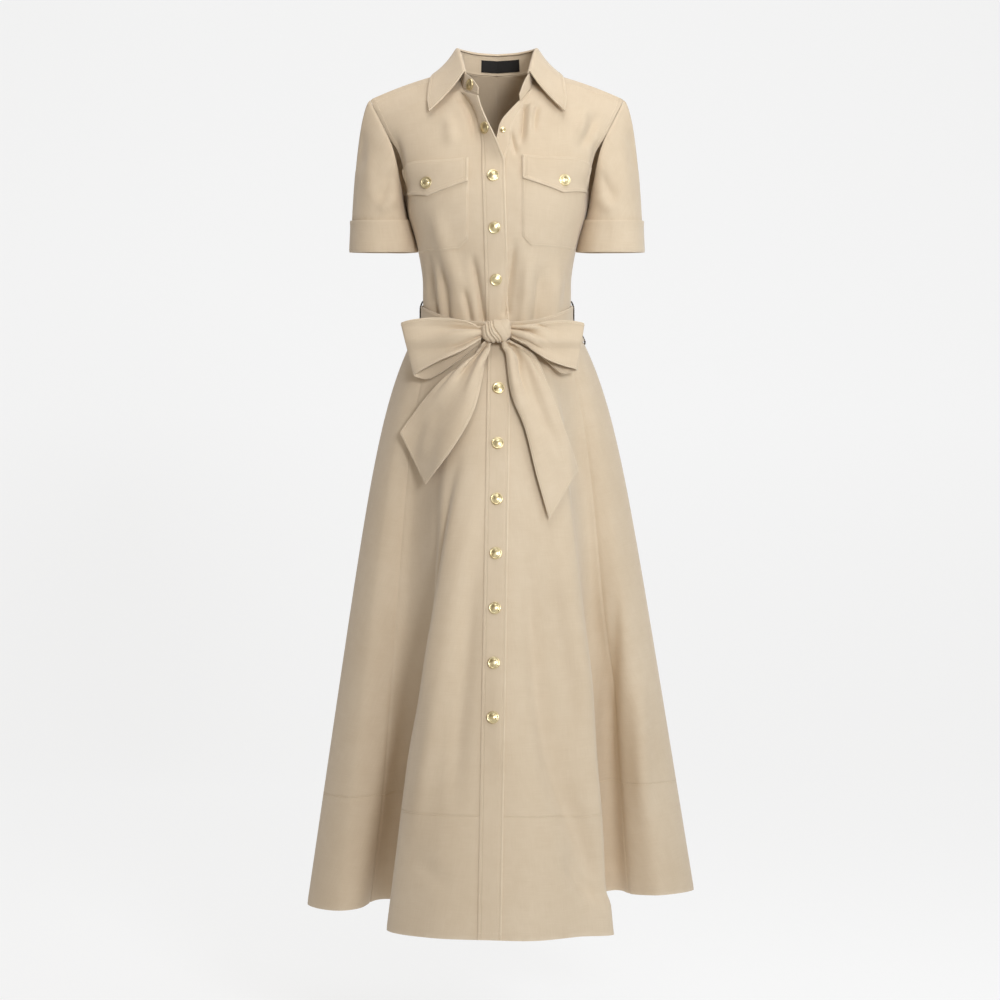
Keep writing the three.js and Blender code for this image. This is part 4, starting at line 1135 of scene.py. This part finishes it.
def make_stitches(name, lines, material, slot="twill"):
    """One piece that holds every stitch of the given lines, each a small spindle of thread."""
    rings = [(-0.36, 0.85), (0, 1), (0.36, 0.85)]
    points, faces = [], []
    for mids, t, n in [stitch_row(*line) for line in lines]:
        b = np.cross(t, n)
        parts = [mids - t * STITCH["length"] / 2]
        for along, size in rings:
            middle = mids + t * along * STITCH["length"]
            for across, up in ((1, 0), (0, 1), (-1, 0), (0, -1)):
                parts.append(middle + (b * across + n * up * 0.8) * size * STITCH["thick"])
        parts.append(mids + t * STITCH["length"] / 2)
        block = np.stack(parts, axis=1)
        base = sum(len(p) for p in points)
        points.append(block.reshape(-1, 3))
        template = []
        for k in range(4):
            j = (k + 1) % 4
            template.append((0, 1 + j, 1 + k, 1 + k))
            template.append((13, 9 + k, 9 + j, 9 + j))
            for ring in (0, 4):
                template.append((1 + ring + k, 1 + ring + j, 5 + ring + j, 5 + ring + k))
        starts = base + 14 * np.arange(len(mids))
        faces.append((np.array(template)[None] + starts[:, None, None]).reshape(-1, 4))
    piece = new_mesh(name, np.vstack(points), np.vstack(faces), material, sharp=None)
    return finish_piece(piece, slot)


# Materials
class Look:
    """A material's shader and nodes, with short ways to add to them."""

    def __init__(self, name):
        self.material = bpy.data.materials.new(name)
        self.material.use_nodes = True
        self.nodes = self.material.node_tree.nodes
        self.links = self.material.node_tree.links
        self.shader = self.nodes["Principled BSDF"]

    def node(self, kind, sizes=None, **inputs):
        """A new node with values for its sockets and links from other nodes' outputs."""
        node = self.nodes.new(kind)
        for name, value in (sizes or {}).items():
            node.inputs[name].default_value = value
        for name, output in inputs.items():
            self.links.new(output, node.inputs[name])
        return node

    def set(self, **values):
        """Constants for the shader's sockets, which are named with _ for each space."""
        for name, value in values.items():
            self.shader.inputs[name.replace("_", " ")].default_value = value

    def link(self, output, name):
        self.links.new(output, self.shader.inputs[name])

    def place(self):
        return self.nodes.new("ShaderNodeTexCoord").outputs["Object"]

    def cloth_place(self):
        uv = self.nodes.new("ShaderNodeUVMap")
        uv.uv_map = "cloth"
        return uv.outputs["UV"]

    def noise(self, vector, scale, detail):
        return self.node("ShaderNodeTexNoise", dict(Scale=scale, Detail=detail), Vector=vector).outputs["Fac"]

    def waves(self, vector, scale, distortion, direction="DIAGONAL", **sizes):
        sizes = dict(Scale=scale, Distortion=distortion, **sizes)
        node = self.node("ShaderNodeTexWave", sizes, Vector=vector)
        node.bands_direction = direction
        return node.outputs["Fac"]

    def scaled(self, vector, x, y):
        node = self.nodes.new("ShaderNodeMapping")
        node.vector_type = "TEXTURE"
        self.links.new(vector, node.inputs["Vector"])
        node.inputs["Scale"].default_value = (x, y, 1.0)
        return node.outputs["Vector"]

    def ramp(self, factor, low, high, first, last):
        """Maps a factor from low..high to first..last."""
        sizes = {"From Min": low, "From Max": high, "To Min": first, "To Max": last}
        return self.node("ShaderNodeMapRange", sizes, Value=factor).outputs["Result"]

    def math(self, first, second, kind="ADD"):
        node = self.nodes.new("ShaderNodeMath")
        node.operation = kind
        for k, value in enumerate((first, second)):
            if isinstance(value, float):
                node.inputs[k].default_value = value
            else:
                self.links.new(value, node.inputs[k])
        return node.outputs[0]

    def tint(self, factor, dark, light):
        """The shader's colour: from dark to light by a factor."""
        node = self.nodes.new("ShaderNodeMix")
        node.data_type = "RGBA"
        self.links.new(factor, node.inputs["Factor"])
        node.inputs["A"].default_value = (*dark, 1)
        node.inputs["B"].default_value = (*light, 1)
        self.link(node.outputs["Result"], "Base Color")

    def bump(self, height, strength, distance, **under):
        sizes = dict(Strength=strength, Distance=distance)
        return self.node("ShaderNodeBump", sizes, Height=height, **under).outputs["Normal"]


def cloth_material(name, dark, light, rib=0.0011, bump=0.12):
    """Twill: fine slanted ribs, uneven yarns along and across, a slow change of tone, and a painted highlight
    along sewn edges.
    """
    look = Look(name)
    cloth, place = look.cloth_place(), look.place()
    twill = look.waves(cloth, 0.628 / rib, 0.6, Detail=1.0)
    down = look.noise(look.scaled(cloth, 0.0009, 0.03), 1.0, 2.0)
    over = look.noise(look.scaled(cloth, 0.03, 0.0009), 1.0, 2.0)
    cloud = look.noise(place, 7.0, 3.0)
    mottle = look.noise(place, 60.0, 4.0)
    yarns = look.math(down, over)
    tone = look.math(look.ramp(cloud, 0.3, 0.7, 0.0, 0.42), look.ramp(yarns, 0.7, 1.3, 0.0, 0.3))
    tone = look.math(tone, look.ramp(mottle, 0.3, 0.7, 0.0, 0.18))
    tone = look.math(tone, look.ramp(twill, 0.0, 1.0, 0.0, 0.1))
    # Painted highlight along sewn and folded edges, read from the per-point attribute and mottled.
    worn = look.nodes.new("ShaderNodeAttribute")
    worn.attribute_name = "edge_highlight"
    highlight_tone = look.math(worn.outputs["Fac"], look.ramp(mottle, 0.3, 0.6, 0.15, 0.5), "MULTIPLY")
    look.tint(look.math(tone, highlight_tone), dark, light)
    look.link(look.ramp(yarns, 0.7, 1.3, 0.86, 0.74), "Roughness")
    fine = look.bump(look.math(twill, look.math(yarns, 0.6, "MULTIPLY")), bump, 0.0006)
    look.link(look.bump(mottle, 0.25, 0.0012, Normal=fine), "Normal")
    look.set(Specular_IOR_Level=0.25, Sheen_Weight=0.25, Sheen_Roughness=0.5)
    return look.material


def thread_material(name, dark, light, sheen=0.3):
    """Twisted thread: slanted plies round each strand."""
    look = Look(name)
    plies = look.waves(look.place(), 1400.0, 1.0)
    look.tint(plies, dark, light)
    look.link(look.bump(plies, 0.3, 0.0001), "Normal")
    look.set(Roughness=0.8, Specular_IOR_Level=0.15, Sheen_Weight=sheen)
    return look.material


def brass_material():
    """Pale polished brass with uneven polish."""
    look = Look("pale_brass")
    polish = look.noise(look.place(), 180.0, 4.0)
    look.tint(look.ramp(polish, 0.35, 0.65, 0.0, 1.0), (0.70, 0.56, 0.30), (0.84, 0.73, 0.46))
    look.link(look.ramp(polish, 0.3, 0.7, 0.26, 0.42), "Roughness")
    look.link(look.bump(polish, 0.12, 0.0003), "Normal")
    look.set(Metallic=1.0)
    return look.material


def label_material():
    """Black satin weave with fine raised ribs."""
    look = Look("black_satin")
    ribs = look.waves(look.cloth_place(), 900.0, 0.3, "Y")
    look.tint(ribs, (0.006, 0.005, 0.005), (0.022, 0.02, 0.018))
    look.link(look.bump(ribs, 0.3, 0.0002), "Normal")
    look.set(Roughness=0.6, Specular_IOR_Level=0.2)
    return look.material


TWILL_DARK, TWILL_LIGHT = (0.585, 0.46, 0.318), (0.685, 0.567, 0.422)
twill = cloth_material("tan_twill", TWILL_DARK, TWILL_LIGHT)
tan_thread = thread_material("tan_thread", (0.66, 0.53, 0.37), (0.84, 0.73, 0.57))
# Painted shade: near-black thread for the belt carriers, standing in for the shade on each loop and in the
# notch beside the sash.
shade_dark_thread = thread_material("shade_dark_thread", (0.02, 0.013, 0.008), (0.07, 0.046, 0.028), sheen=0)
brass = brass_material()
satin = label_material()


# Camera
def make_camera():
    camera = bpy.data.objects.new("camera", bpy.data.cameras.new("camera"))
    camera.location = (CAMERA["x"] * MM, -CAMERA["distance"] * MM, CAMERA["z"] * MM)
    camera.rotation_euler = (math.pi / 2, 0, 0)
    camera.data.lens = CAMERA["lens"]
    camera.data.sensor_width = 36
    camera.data.clip_end = 50
    bpy.context.scene.collection.objects.link(camera)
    bpy.context.scene.camera = camera


make_camera()

# Bodice, sleeves, collar
stitch_lines = {}


def stitched(group, cloth, edge, distance, offset, first=0):
    points, normals = cloth.line(edge, distance, offset, first)
    if len(points) > 1:
        stitch_lines.setdefault(group, []).append((points, normals))


def bodice_rows(count=116):
    return np.unique(np.round(np.concatenate([np.linspace(0, 1, count), [UNDERARM, COLLAR_CORNER, NAPE]]), 5))


def sewn(cloth, name, node, faces, dips, flat, held, material=twill, slot="twill", area=None, **how):
    """Makes a piece of cloth, parents it to the root body and hides the solid that it stands for."""
    piece = cloth.make(f"{name}_cloth", *faces, material, dips, **how)
    finish_piece(piece, slot, node)


def make_bodice():
    rows = bodice_rows()
    shape = dict(outward=up_and_out, relief_of=bodice_relief)
    front = dict(flat=(0.2, 0.38), held="hung", area=0.062)
    dips = dict(end=(0.7, 2.5), right=(0.8, 2.5))
    right = Cloth(FRONTS["right"], graded(84), rows, **shape)
    sewn(right, "front_right", "bodice_front_right", ONE_LAYER, dips, worn=(), **front)
    left = Cloth(left_panel, graded(84), rows, **shape)
    dips = dips | dict(left=(0.6, 1.5))
    sewn(left, "front_left", "bodice_front_left", ONE_LAYER, dips, worn=("left",), **front)
    under = Cloth(under_placket, np.linspace(0, 1, 14), rows[rows <= COLLAR_CORNER], **shape)
    dips = dict(left=(0.5, 1.2), right=(0.6, 1.5))
    sewn(under, "under_placket", "placket_under", ONE_LAYER, dips, (0.025, 0.35), "folded")
    halves = [back_surface("right"), back_surface("left")]

    def back(u, v):
        right_half = halves[0](np.maximum(-u, 0), v)
        left_half = halves[1](np.maximum(u, 0), v)
        return np.where((u < 0)[..., None], right_half, left_half)

    half = graded(62)
    us = np.concatenate([-half[:0:-1], [-1e-7, 1e-7], half[1:]])
    whole = Cloth(back, us, rows, **shape)
    dips = dict(left=(0.8, 2.5), right=(0.8, 2.5))
    size = dict(flat=(0.42, 0.41), held="hung", area=0.138)
    sewn(whole, "back", "bodice_back", ONE_LAYER, dips, skip=(len(half) - 1,), worn=(), **size)
    arm = int(np.searchsorted(rows, UNDERARM))
    for cloth in (right, left):
        stitched("bodice_stitching", cloth, "right", 6, ONE_LAYER[1], arm + 4)
        stitched("bodice_stitching", cloth, "end", 6, ONE_LAYER[1])
    stitched("bodice_stitching", under, "left", 3, ONE_LAYER[1])
    stitched("bodice_stitching", under, "right", 2, ONE_LAYER[1])


def from_sleeve(side):
    return lambda p: vec(p[..., 0] - side * (SLEEVE_END["x"] - 8), p[..., 1], 0)


CUFF_FACES = (1.7, 3.3)
CUFF_GAP = 0.9  # how far a cuff's top edge stands off the sleeve
SLEEVE_CREASES = [
    crease([(196, -84), (200, -120), (196, -160)], -3.3, 10, 1.2),
    crease([(150, -150), (160, -176), (176, -200)], -4.5, 9, 1.6),
    crease([(146, -186), (158, -204), (172, -216)], 3.3, 8),
    crease([(182, -120), (184, -160), (182, -205)], 2.7, 10),
]


def sleeve_relief(p):
    """Folds on the sleeve, and its inner side drawn in towards the body."""
    far = np.abs(p[..., 0])
    inner = smooth((SLEEVE_END["x"] - 6 - far) / 24)
    drawn = lerp(1.6, 5.6, smooth((-200 - p[..., 2]) / 60)) * smooth((-150 - p[..., 2]) / 30)
    return inner * drawn + relief(SLEEVE_CREASES, far, p[..., 2]) * smooth(-p[..., 1] / 20)


def make_sleeves():
    turns = np.linspace(0, 1, 129)[:-1]
    for word, side in SIDE.items():
        shape = dict(outward=from_sleeve(side), relief_of=sleeve_relief, closed=True)
        sleeve = Cloth(sleeve_surface(word), turns, graded(64, 0.4), **shape)
        how = dict(worn=(), grooves=[("end", CUFF_HEIGHT + 1.5)], area=0.047)
        dips = dict(start=(0.9, 3))
        sewn(sleeve, f"sleeve_{word}", f"sleeve_{word}", ONE_LAYER, dips, (0.37, 0.2), "hung", **how)
        cuff = Cloth(cuff_surface(word), turns, np.linspace(0, 1, 24), **shape)
        off = CUFF_GAP * hump(cuff.edge["start"] / 7) * (1 + 0.5 * np.sin(5 * turns * math.pi))
        cuff.grid = cuff.grid + cuff.normals * off[..., None]
        dips = dict(start=(0.4, 1.2), end=(0.6, 1.5))
        sewn(cuff, f"cuff_{word}", f"cuff_{word}", CUFF_FACES, dips, (0.34, 0.046), "folded")


def above_neck(p):
    return vec(p[..., 0], p[..., 1], 20 + 0 * p[..., 2])


def make_collar():
    ss = np.linspace(-1, 1, 201)
    reach = STAND["reach"]
    whole = np.concatenate([np.linspace(-reach, -1, 15)[:-1], ss, np.linspace(1, reach, 15)[1:]])
    stand = Cloth(stand_surface, whole, np.linspace(0, 1, 16))
    dips = dict(left=(0.5, 1.2), right=(0.5, 1.2), start=(0.4, 1.5), end=(0.3, 1.5))
    sewn(stand, "collar_stand", "collar_stand", (0.1, 1.3), dips, (0.42, 0.026), "stretched")
    leaf = Cloth(leaf_surface, ss, graded(44, 0.5), outward=above_neck)
    edges = ("left", "right", "end")
    how = dict(grooves=[(edge, 5) for edge in edges], area=0.026)
    dips = {edge: (0.4, 1.2) for edge in edges}
    sewn(leaf, "collar_leaf", "collar_leaf", (0.1, 2.0), dips, (0.46, 0.062), "folded", **how)
    for edge in edges:
        stitched("collar_stitching", leaf, edge, 5, 1.8)
    stitched("collar_stitching", stand, "start", 2.5, 1.3)
    label = Cloth(stand_surface, np.linspace(-0.12, 0.18, 60), np.linspace(0.14, 0.78, 20))
    dips = {edge: (-0.25, 1) for edge in ("left", "right", "start", "end")}
    sewn(label, "neck_label", "neck_label", (-1.3, -0.5), dips, (0.057, 0.018), "stretched", satin, "label")


def make_skirt():
    rows = np.concatenate([np.linspace(0, 0.2, 36), np.linspace(0.2, 1, 104), np.linspace(0.79, 0.822, 20)])
    rows = np.unique(np.round(rows, 5))
    dips = dict(right=(0.9, 2.5), end=(0.4, 1.5))

    def panel(name, node, surface, us, dips, flat, area):
        cloth = Cloth(surface, us, rows, relief_of=skirt_relief)
        hem = 0.9 * smooth((HEM_DEPTH - cloth.edge["end"]) / 1.5)
        how = dict(thicker=hem, grooves=[("end", HEM_DEPTH)], worn=("end",), area=area)
        sewn(cloth, name, node, ONE_LAYER, dips, flat, "hung", **how)
        return cloth

    surface = skirt_panel(10.5, SIDE_SEAMS["right"])
    right = panel("skirt_right", "skirt_front_right", surface, graded(140), dips, (0.36, 0.87), 0.215)
    surface = skirt_panel(-PLACKET_WIDTH / 2 + 5, SIDE_SEAMS["left"] - COUNT)
    left = panel("skirt_left", "skirt_front_left", surface, graded(140), dips, (0.42, 0.88), 0.238)
    dips = dips | dict(left=(0.9, 2.5))
    back = panel("skirt_back", "skirt_back", skirt_back, graded(216, 0.3), dips, (1.35, 0.89), 0.745)
    under = Cloth(skirt_under, np.linspace(0, 1, 8), rows, relief_of=skirt_relief)
    sewn(under, "skirt_under_placket", "skirt_placket_under", ONE_LAYER, None, (0.022, 0.855), "folded")
    for cloth in (right, left, back):
        stitched("hem_stitching", cloth, "end", HEM_DEPTH, ONE_LAYER[1])


def make_placket():
    ws = graded(26, 0.45)
    upper = np.linspace(COLLAR_CORNER, 0, 150)
    lower = np.linspace(0, 1, 240)[1:]

    def strip(w, v):
        """v runs from 1 at the collar through 0 at the waist to -1 at the hem."""
        high = bodice_placket(w, np.maximum(v[v[:, 0] >= 0], 0))
        low = skirt_placket(w, -v[v[:, 0] < 0])
        return np.concatenate([high, low])

    def strip_relief(p):
        waist = WAIST["height"] - WAIST["dip"]
        return np.where(p[..., 2] > waist, bodice_relief(p), skirt_relief(p))

    placket = Cloth(strip, ws, np.concatenate([upper, -lower]), outward=forward, relief_of=strip_relief)
    dips = dict(left=(1.1, 0.9), right=(0.7, 0.8), start=(0.4, 1.2), end=(0.3, 1.2))
    grooves = [("left", 4), ("right", 4)]
    sewn(placket, "placket", "placket_outer", (0, 1.4), dips, (0.034, 1.22), "folded", grooves=grooves)
    stitched("placket_stitching", placket, "left", 4, 1.1)
    stitched("placket_stitching", placket, "right", 4, 1.1)
    stitched("placket_stitching", placket, "end", 9, 1.1)


def make_pockets():
    edges = ("left", "right", "end")
    corner = POCKET["corner"] / POCKET["width"]
    middle = np.linspace(corner, 1 - corner, 34)[1:-1]
    across = np.concatenate([np.linspace(0, corner, 8), middle, np.linspace(1 - corner, 1, 8)])
    for word in SIDE:
        surface = pocket_surface(word, POCKET["width"], pocket_bottom, ON_PANEL)
        pocket = Cloth(surface, across, lerp(0.06, 1, graded(44, 0.4)), relief_of=bodice_relief)
        dips, grooves = {edge: (0.8, 0.9) for edge in edges}, [(edge, 2.6) for edge in edges]
        size = dict(flat=(0.112, 0.13), held="laid")
        sewn(pocket, f"pocket_{word}", f"pocket_{word}", (0, 1.3), dips, grooves=grooves, **size)
        for edge in edges:
            stitched("pocket_stitching", pocket, edge, 2.6, 1.1)
        surface = pocket_surface(word, FLAP["width"], flap_bottom, ON_POCKET, flap_top)
        flap = Cloth(surface, graded(60, 0.4), graded(22, 0.5), relief_of=bodice_relief)
        flap.grid = flap.grid + flap.normals * (FLAP["lift"] * hump(flap.edge["end"] / 7))[..., None]
        dips = dict(left=(0.6, 0.9), right=(0.6, 0.9), start=(1.2, 2), end=(0.6, 0.9))
        grooves = [*((edge, 5) for edge in edges), ("start", 3)]
        size = dict(flat=(0.12, 0.056), held="laid", area=0.0057)
        sewn(flap, f"flap_{word}", f"pocket_flap_{word}", (0, 1.9), dips, grooves=grooves, **size)
        for edge in edges:
            stitched("pocket_stitching", flap, edge, 5, 1.5)
        stitched("pocket_stitching", flap, "start", 3, 1.5)


def make_knot():
    rows, cols = 84, 150
    polar = np.linspace(0.001, math.pi - 0.001, rows)[:, None]
    turn = np.linspace(0, 2 * math.pi, cols, endpoint=False)[None, :]
    d = vec(-np.cos(turn) * np.sin(polar), np.cos(polar) + 0 * turn, np.sin(turn) * np.sin(polar))
    across = 0.96 * d[..., 0] + 0.28 * d[..., 2] + 0.08 * np.sin(2.6 * d[..., 2] - 2.2 * d[..., 0] + 0.6)
    off = np.linalg.norm(d - KNOT_BUMP["toward"], axis=-1)
    r = 1 + KNOT_BUMP["out"] * hump(off / KNOT_BUMP["wide"])
    for wrap in WRAPS:
        r = r - wrap["deep"] * hump((across - wrap["across"]) / wrap["wide"])
    fine = np.sin(across * 31 + 2.2 * d[..., 2]) + 0.6 * np.sin(across * 53 - 3 * d[..., 1])
    r = r + 0.002 * fine
    size = [KNOT["half_width"], KNOT["half_depth"], KNOT["half_height"]]
    p = power(d, 0.85) * r[..., None] * size + [KNOT["x"], KNOT["y"], KNOT["z"]]
    knot = Cloth.__new__(Cloth)
    knot.closed = True
    knot.set_grid(p, lambda g: g - np.array([KNOT["x"], KNOT["y"], KNOT["z"]]), no_relief)
    quads = grid_quads(rows, cols).reshape(-1, 4)
    flat = p.reshape(-1, 3)
    middle = flat.mean(axis=0)
    a = flat[quads]
    turned = np.sum(np.cross(a[:, 2] - a[:, 0], a[:, 3] - a[:, 1]) * (a[:, 0] - middle))
    quads = quads if turned > 0 else quads[:, ::-1]
    uv = np.stack([knot.across, knot.down], axis=-1).reshape(-1, 2) * MM
    faces = [*quads.tolist(), list(range(cols)), list(range((rows - 1) * cols, rows * cols))]
    piece = new_mesh("bow_knot_cloth", flat, faces, twill, uv, sharp=None)
    finish_piece(piece, "twill", "bow_knot")


SASH_FACES = (0.2, 1.9)
SASH_EDGE = (0.6, 1.4)
LOOP_SIZES = dict(right=(0.25, 0.06), left=(0.22, 0.054))


def make_sash():
    turns = np.linspace(0, 1, 321)[:-1]
    band_cloth = Cloth(band_surface, turns, graded(24, 0.4), closed=True)
    edges = dict(start=SASH_EDGE, end=SASH_EDGE)
    sewn(band_cloth, "sash_band", "sash_band", SASH_FACES, edges, (0.74, 0.05), "gathered")
    for edge in edges:
        stitched("sash_stitching", band_cloth, edge, 3, SASH_FACES[1])
    make_knot()
    for word, side in SIDE.items():
        def outward(p, side=side):
            depth = rest_depth(p[..., 0].ravel(), p[..., 2].ravel()).reshape(p.shape[:-1])
            return vec(0.3 * (p[..., 0] - side * 60), p[..., 1] + depth + 11, 0)

        shape = dict(outward=outward, relief_of=loop_relief)
        loop = Cloth(loop_surface(word), np.linspace(0, 1, 160), graded(50, 0.3), **shape)
        name = f"bow_loop_{word}"
        sewn(loop, name, name, SASH_FACES, edges, LOOP_SIZES[word], "gathered")
        for edge in edges:
            stitched("sash_stitching", loop, edge, 3, SASH_FACES[1])
        shape = dict(outward=forward, relief_of=tail_relief)
        tail = Cloth(tail_surface(word), graded(56, 0.3), np.linspace(0, 1, 110), **shape)
        dips = {edge: SASH_EDGE for edge in ("left", "right", "end")}
        name = f"bow_tail_{word}"
        sewn(tail, name, name, SASH_FACES, dips, (0.075, 0.25), "hung", area=0.015)
        for edge in dips:
            stitched("sash_stitching", tail, edge, 3, SASH_FACES[1])


CARRIER = table(
    "z out",
    (-338, 1.6),
    (-342, 3.6),
    (-347, 5.2),
    (-358, 5.5),
    (-380, 5.4),
    (-397, 5.0),
    (-402, 2.2),
)


def make_carriers():
    """A twisted thread loop at each side seam, under which the sash passes."""
    out = column({**CARRIER, "down": -CARRIER["z"]}, "out", "down")
    z = np.linspace(-338, -402, 90)
    for word, side in SIDE.items():
        base = np.abs(body_at(np.full(len(z), 90.0), z)[..., 0])
        middle = vec(side * (base + out(-z) - 0.2), 0 * z, z)
        rings = []
        for k in range(12):
            around = 2 * math.pi * k / 12
            radius = 1.15 + 0.25 * np.cos(2 * (around - z * 1.1))
            rings.append(middle + vec(radius * np.cos(around), radius * np.sin(around) * 1.3, 0 * z))
        points = np.stack(rings, axis=1).reshape(-1, 3)
        # The thread's near-black colour is painted shade for the loop and the notch where it meets the band.
        piece = new_mesh(f"belt_carrier_{word}_thread", points, tube_faces(len(z), len(rings)), shade_dark_thread)
        finish_piece(piece, "thread", f"belt_carrier_{word}")


# Snaps
CAP = table(
    "r z",
    (0.3, 0),
    (8.1, 0),
    (8.5, 0.4),
    (8.5, 1.4),
    (8.2, 2.1),
    (7.6, 2.4),
    (7.0, 2.3),
    (6.5, 1.9),
    (6.0, 1.9),
    (5.3, 2.4),
    (4.9, 2.45),
    (4.6, 2.25),
    (4.3, 2.45),
    (3.5, 2.75),
    (2.0, 3.05),
    (0.3, 3.15),
)
STUD = table(
    "r z",
    (0.3, 0),
    (4.0, 0),
    (4.3, 0.3),
    (4.3, 0.9),
    (3.8, 1.3),
    (2.8, 1.4),
    (2.4, 2.0),
    (1.8, 2.3),
    (0.3, 2.3),
)


def make_cap(name, node, at, normal, profile=CAP, sides=48):
    normal = unit(np.asarray(normal, float))
    across = unit(np.cross(normal, [0, 0, 1]))
    up = np.cross(across, normal)
    turn = np.linspace(0, 2 * math.pi, sides, endpoint=False)
    ring = np.cos(turn)[:, None] * across + np.sin(turn)[:, None] * up
    rings = np.array([at + r * ring + z * normal for r, z in zip(profile["r"], profile["z"])])
    piece = new_mesh(name, rings.reshape(-1, 3), tube_faces(len(rings), sides), brass, sharp=40)
    finish_piece(piece, "brass", node)


BODICE_SNAPS = [-170, -243.5, -316]
SKIRT_SNAPS = [-472, -550, -628, -703.5, -779, -854, -928]


def one(value):
    return np.array([[float(value)]])


def on_surface(surface, u, v, by, relief_of, outward=forward):
    """A place on a surface with its normal, lifted and moved as the cloth there is."""
    n = normal_at(surface, one(u), one(v), outward)[0, 0]
    p = surface(one(u), one(v))[0, 0]
    return p + n * (by + float(relief_of(p[None, :])[0])), n


def height_on(surface, z, high):
    vs = np.linspace(0, high, 240)
    zs = surface(one(0.5) + 0 * vs[:, None], vs[:, None])[:, 0, 2]
    order = np.argsort(zs)
    return np.interp(z, zs[order], vs[order])


def snap_row(part, heights, surface, high, across, relief_of):
    for i, z in enumerate(heights, 1):
        v = height_on(surface, z, high)
        place = on_surface(surface, across, v, 1.2, relief_of)
        make_cap(f"snap_{part}_{i}_cap", f"snap_{part}_{i}", *place)


def make_snaps():
    v = height_on(bodice_placket, -100, COLLAR_CORNER)
    make_cap("snap_neck_cap", "snap_neck", *on_surface(bodice_placket, 0.56, v, 1.6, bodice_relief))
    stand_out = lambda p: vec(-1 + 0 * p[..., 0], -1, 0)
    place = on_surface(stand_surface, -1.08, 0.5, 1.5, no_relief, stand_out)
    make_cap("snap_stand_cap", "snap_stand", *place)
    snap_row("bodice", BODICE_SNAPS, bodice_placket, 0.6, 0.48, bodice_relief)
    snap_row("skirt", SKIRT_SNAPS, skirt_placket, 1, 0.5, skirt_relief)
    for word in SIDE:
        u, v = on_front(word, one(FLAP["width"] / 2 + 1), one(FLAP["point"] - 20))
        at, normal = on_surface(FRONTS[word], u[0, 0], v[0, 0], ON_POCKET + 2.4, bodice_relief)
        make_cap(f"snap_flap_{word}_cap", f"snap_flap_{word}", at, normal + np.array([0, -0.9, 0]))
    vs = np.linspace(0, COLLAR_CORNER, 400)
    v = np.interp(-102, front_edge["z"](vs), vs)
    ts = np.linspace(0, 0.5, 200)
    u = np.interp(8.5, FRONTS["left"](ts[None, :], one(v))[0, :, 0], ts)
    place = on_surface(FRONTS["left"], u, v, ONE_LAYER[1] + 0.2, bodice_relief)
    make_cap("snap_stud_post", "snap_stud", *place, profile=STUD, sides=32)


make_bodice()
make_sleeves()
make_collar()
make_skirt()
make_placket()
make_pockets()
make_sash()
make_carriers()
make_snaps()
for name, lines in stitch_lines.items():
    make_stitches(name, lines, tan_thread)


# Floor, backdrop and light, in metres
FLOOR = dict(height=-1.45, front=-4.5, half_width=6)
WALL = dict(place=4.4, top=4.5, bend=1.1)  # behind the dress, far enough back to leave its back in sight
GLOW_FROM = (-0.6, 0.4)  # from in front of the dress to behind it
GLOW = (0.4, 0.69)


def make_backdrop():
    """A pale floor that curves up into a pale backdrop."""
    bend, start = WALL["bend"], WALL["place"] - WALL["bend"]
    profile = [(FLOOR["front"], FLOOR["height"]), (start, FLOOR["height"])]
    for t in np.linspace(0.15, math.pi / 2, 14):
        profile.append((start + bend * math.sin(t), FLOOR["height"] + bend - bend * math.cos(t)))
    profile.append((WALL["place"], WALL["top"]))
    wide = FLOOR["half_width"]
    points = np.array([(x, y, z) for y, z in profile for x in (-wide, wide)]) / MM
    faces = [(2 * i, 2 * i + 1, 2 * i + 3, 2 * i + 2) for i in range(len(profile) - 1)]
    look = Look("pale_floor")
    look.set(Base_Color=(0.3, 0.305, 0.31, 1), Emission_Color=(1, 1, 1, 1))
    look.set(Roughness=1.0, Specular_IOR_Level=0.0)
    apart = look.node("ShaderNodeSeparateXYZ", Vector=look.place())
    look.link(look.ramp(apart.outputs["Y"], *GLOW_FROM, *GLOW), "Emission Strength")
    new_mesh("backdrop", points, faces, look.material)


def make_light(name, place, target, size, power_w, colour=(1, 1, 1), spread=180):
    light = bpy.data.lights.new(name, "AREA")
    light.shape = "DISK"
    light.size = size
    light.energy = power_w
    light.color = colour
    light.spread = math.radians(spread)
    lamp = bpy.data.objects.new(name, light)
    lamp.location = place
    lamp.visible_camera = False
    direction = np.array(target, float) - np.array(place, float)
    lamp.rotation_euler = Vector(direction).to_track_quat("-Z", "Y").to_euler()
    bpy.context.scene.collection.objects.link(lamp)


def make_light_setup():
    world = bpy.data.worlds.new("studio")
    world.use_nodes = True
    background = world.node_tree.nodes["Background"]
    background.inputs["Color"].default_value = (1.0, 0.9, 0.78, 1)
    background.inputs["Strength"].default_value = 0.22
    bpy.context.scene.world = world
    make_light("key", (0.9, -1.8, 0.1), (0.1, 0, -0.1), 0.8, 1.2, spread=80)
    make_light("front", (1.1, -3.95, 0.3), (0, 0, -0.5), 0.8, 69, (0.94, 0.98, 1.03))
    make_light("right_side", (2.1, -1.3, 0.3), (0, 0, -0.35), 1.2, 14, (0.84, 0.94, 1.0))
    make_light("left_side", (-1.7, -3.4, -0.3), (0, 0, -0.6), 1.4, 4.0, (1.0, 0.86, 0.68))
    make_light("top", (0.1, -1.0, 1.2), (0, 0, -0.1), 0.6, 5)
    make_light("backdrop_light", (0, 0.2, 2.6), (0, 2.0, -0.5), 3.0, 46)


make_backdrop()
make_light_setup()
view_settings = bpy.context.scene.view_settings
view_settings.view_transform = "Standard"
view_settings.look = "None"

bpy.context.view_layer.update()
